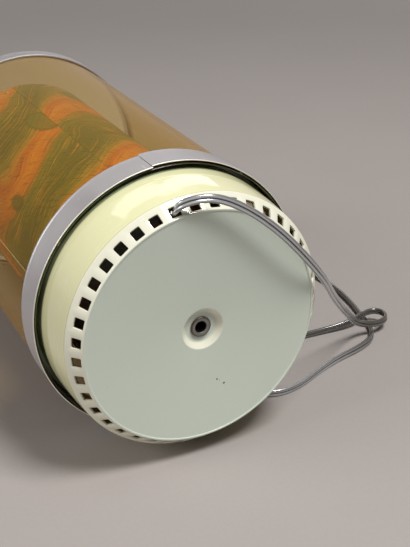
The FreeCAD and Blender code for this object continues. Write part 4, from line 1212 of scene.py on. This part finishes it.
# %% Bulb cap
CAP_R, CAP_LOW, CAP_TOP = measured("bulb_cap")
WALL_R = CAP_R - 0.7
CAP_IN = WALL_R - 0.35
sleeve = [
    (CAP_IN, CAP_LOW), (WALL_R, CAP_LOW, 0.3), (CAP_R - 0.2, CAP_LOW + 1.2, 0.8),
    (WALL_R, CAP_LOW + 2.4, 0.5), (WALL_R, CAP_TOP - 2.6, 0.5), (CAP_R, CAP_TOP - 1.4, 0.6),
    (CAP_R - 0.1, CAP_TOP, 0.4), (CAP_IN, CAP_TOP),
]
cap_sleeve = turned("cap_sleeve", rounded(sleeve, 0.15), aluminium, segments=128)
cap = threaded("bulb_cap_thread", cap_sleeve, WALL_R - 0.1, CAP_LOW + 2.6, CAP_TOP - 4.0,
               THREAD_PITCH, 0.62, aluminium)
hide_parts("bulb_cap")
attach(cap, "base")

# %% [markdown]
# ## Wires in the bulb
#
# Each support is a fine wire that leaves the stem, runs up and out, and curls into a hook. The
# filament is a tiny coiled coil strung over those hooks. Both are a spline with a round bevel,
# turned into a mesh once they are right.

# %% Supports and filament
HOOKS = [(0, 11.0), (60, 9.0), (120, 9.0), (180, 11.0)]
STEM_TOP = CAP_TOP + 24
STEM_R = 2.98
HOOK_AT = CAP_TOP + 50
WIRE_R = 0.3
CURL = [(0.5, 0.3), (0.5, 1.1), (-0.4, 1.2), (-0.5, 0.4)]


def wires(name, lines, radius, finish):
    """Fine wires along lists of points, as one mesh."""
    data = bpy.data.curves.new(name, "CURVE")
    data.dimensions = "3D"
    data.bevel_depth = radius * MM
    data.bevel_resolution = 2
    data.use_fill_caps = True
    data.resolution_u = 4
    for line in lines:
        spline = data.splines.new("NURBS")
        spline.points.add(len(line) - 1)
        for point, p in zip(spline.points, line):
            point.co = (*p, 1)
        spline.order_u = 3
        spline.use_endpoint_u = True
    shape = bpy.data.objects.new(name, data)
    mesh = bpy.data.meshes.new_from_object(shape)
    bpy.data.objects.remove(shape)
    mesh.materials.clear()
    mesh.materials.append(finish.material)
    mesh.shade_smooth()
    made = bpy.data.objects.new(name, mesh)
    bpy.context.scene.collection.objects.link(made)
    print(name, len(mesh.polygons), "faces")
    return made


hooks = []
for angle, reach in HOOKS:
    foot, head = place(angle, STEM_R, STEM_TOP), place(angle, reach, HOOK_AT)
    curl = [place(angle, reach + out, HOOK_AT + up) for out, up in CURL]
    hooks.append([foot, foot.lerp(head, 0.5), foot.lerp(head, 0.9), head, *curl])
supports = wires("filament_hooks", hooks, WIRE_R, wire_finish)
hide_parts("bulb_supports")
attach(supports, "base")

COILS, COIL_TINY, COIL_WIRE, SAG = 26, 0.24, 0.09, 0.8
UP_LAMP = Vector((0, 1, 0))
spans = []
for (a, near), (b, far) in zip(HOOKS, HOOKS[1:]):
    start, end = place(a, near, HOOK_AT + 0.6), place(b, far, HOOK_AT + 0.6)
    side = (end - start).normalized().cross(UP_LAMP)
    span = []
    for k in range(COILS * 4 + 1):
        share, spin = k / (COILS * 4), math.pi / 2 * k
        around = (side * math.cos(spin) + UP_LAMP * math.sin(spin)) * COIL_TINY * MM
        span.append(start.lerp(end, share) - UP_LAMP * SAG * MM * math.sin(math.pi * share) + around)
    spans.append(span)
filament = wires("coiled_filament", spans, COIL_WIRE, wire_finish)
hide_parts("bulb_filament")
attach(filament, "base")

# %% [markdown]
# ## The cord's surface
#
# Clear plastic over tinned copper strands looks like dull silver, grey inside. A bright line
# along each rib is a painted highlight, and a dark one in the groove is painted shade. The
# strands are laid in a slow twist that shows through the jacket as fine slanting lines. A curve
# gives its bevel a UV map of its own, along and round, and the lines follow it.

# %% Cord jacket
jacket = Finish("clear_jacket", IOR=1.5, Metallic=0.6, Coat_Weight=1.0, Coat_IOR=1.6, Coat_Roughness=0.10)
along_cord, round_cord, _ = jacket.split(jacket.node("ShaderNodeTexCoord", out="UV"))
lay = jacket.pair(along_cord * 700.0 + round_cord * 14.0, round_cord * 30.0)
strands = jacket.noise(lay, 1.0, detail=2.0)
where = jacket.object_place()
grime = jacket.noise(where, 40.0, detail=5.0)
silver = jacket.mix(strands, colour(140, 143, 146), colour(196, 199, 202))
# Painted shade: a darker copy of the cord's colour, for where the lamp shades it.
shaded_cord_colour = jacket.mix(strands, colour(40, 36, 31), colour(84, 80, 74))
# The outline's two grooves are at 0 and each wire's outermost line is at 0.5.
on_rib = (round_cord * 2).maths("PINGPONG", 0.5)
# Painted highlight: a bright line along each rib.
rib_highlight = jacket.line_at(on_rib, 0.21, 0.02, 0.05)
wire_edge = jacket.line_at(on_rib, 0.34, 0.02, 0.05)
# Painted shade: a dark line along each groove.
groove = 1 - jacket.between(on_rib, 0.04, 0.10)
silver = jacket.mix(rib_highlight * 0.8, silver, colour(228, 231, 233))
silver = jacket.mix(wire_edge * 0.6, silver, colour(70, 70, 70))
shaded_cord_colour = jacket.mix(rib_highlight * 0.35, shaded_cord_colour, colour(150, 148, 142))
# Towards the fold and under the lamp the cord is painted dark: painted shade for the lamp's shadow there.
_, depth, _ = jacket.split(where)
cord_shade_mask = jacket.between(depth + grime * 0.02, -0.092, -0.062)
silver = jacket.mix(cord_shade_mask * 0.9, silver, shaded_cord_colour)
silver = jacket.mix(groove, silver, colour(22, 22, 21))
silver = jacket.mix(grime * 0.2, silver, colour(92, 84, 70))
jacket.use(Base_Color=silver, Roughness=0.18 + grime * 0.14, Normal=jacket.bump(strands, 0.03, 0.35))
cord_data.materials.append(jacket.material)

# %% Plug
plug_plastic = mottled("plug_plastic", (0.50, 0.47, 0.38), (0.60, 0.57, 0.48), 0.30, IOR=1.5)
plug_plastic.coat(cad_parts["plug_body"].material_slots)

# Inside the base the twin cord is parted, and each wire runs to its own screw of the holder.
TAIL_R = 1.05
INSIDE = [
    (-13.5, -135.2, 145.2, 0.0), (-11.7, -125.6, 135.2, 0.6),
    (-8.0, -122.6, 118.0, 1.2), (-4.0, -122.8, 97.0, 1.2),
]
tail_lines = [[Vector((x + side * (TAIL_R + apart) * 0.9, y, z)) * MM for x, y, z, apart in INSIDE]
              for side in (-1, 1)]
tails = wires("parted_tails", tail_lines, TAIL_R, jacket)
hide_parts("cord_inside")
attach(tails, "base")

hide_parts("cord_front", "cord_coil", "cord_tail")
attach(cord, "base")
tuple(route[0] * MM)
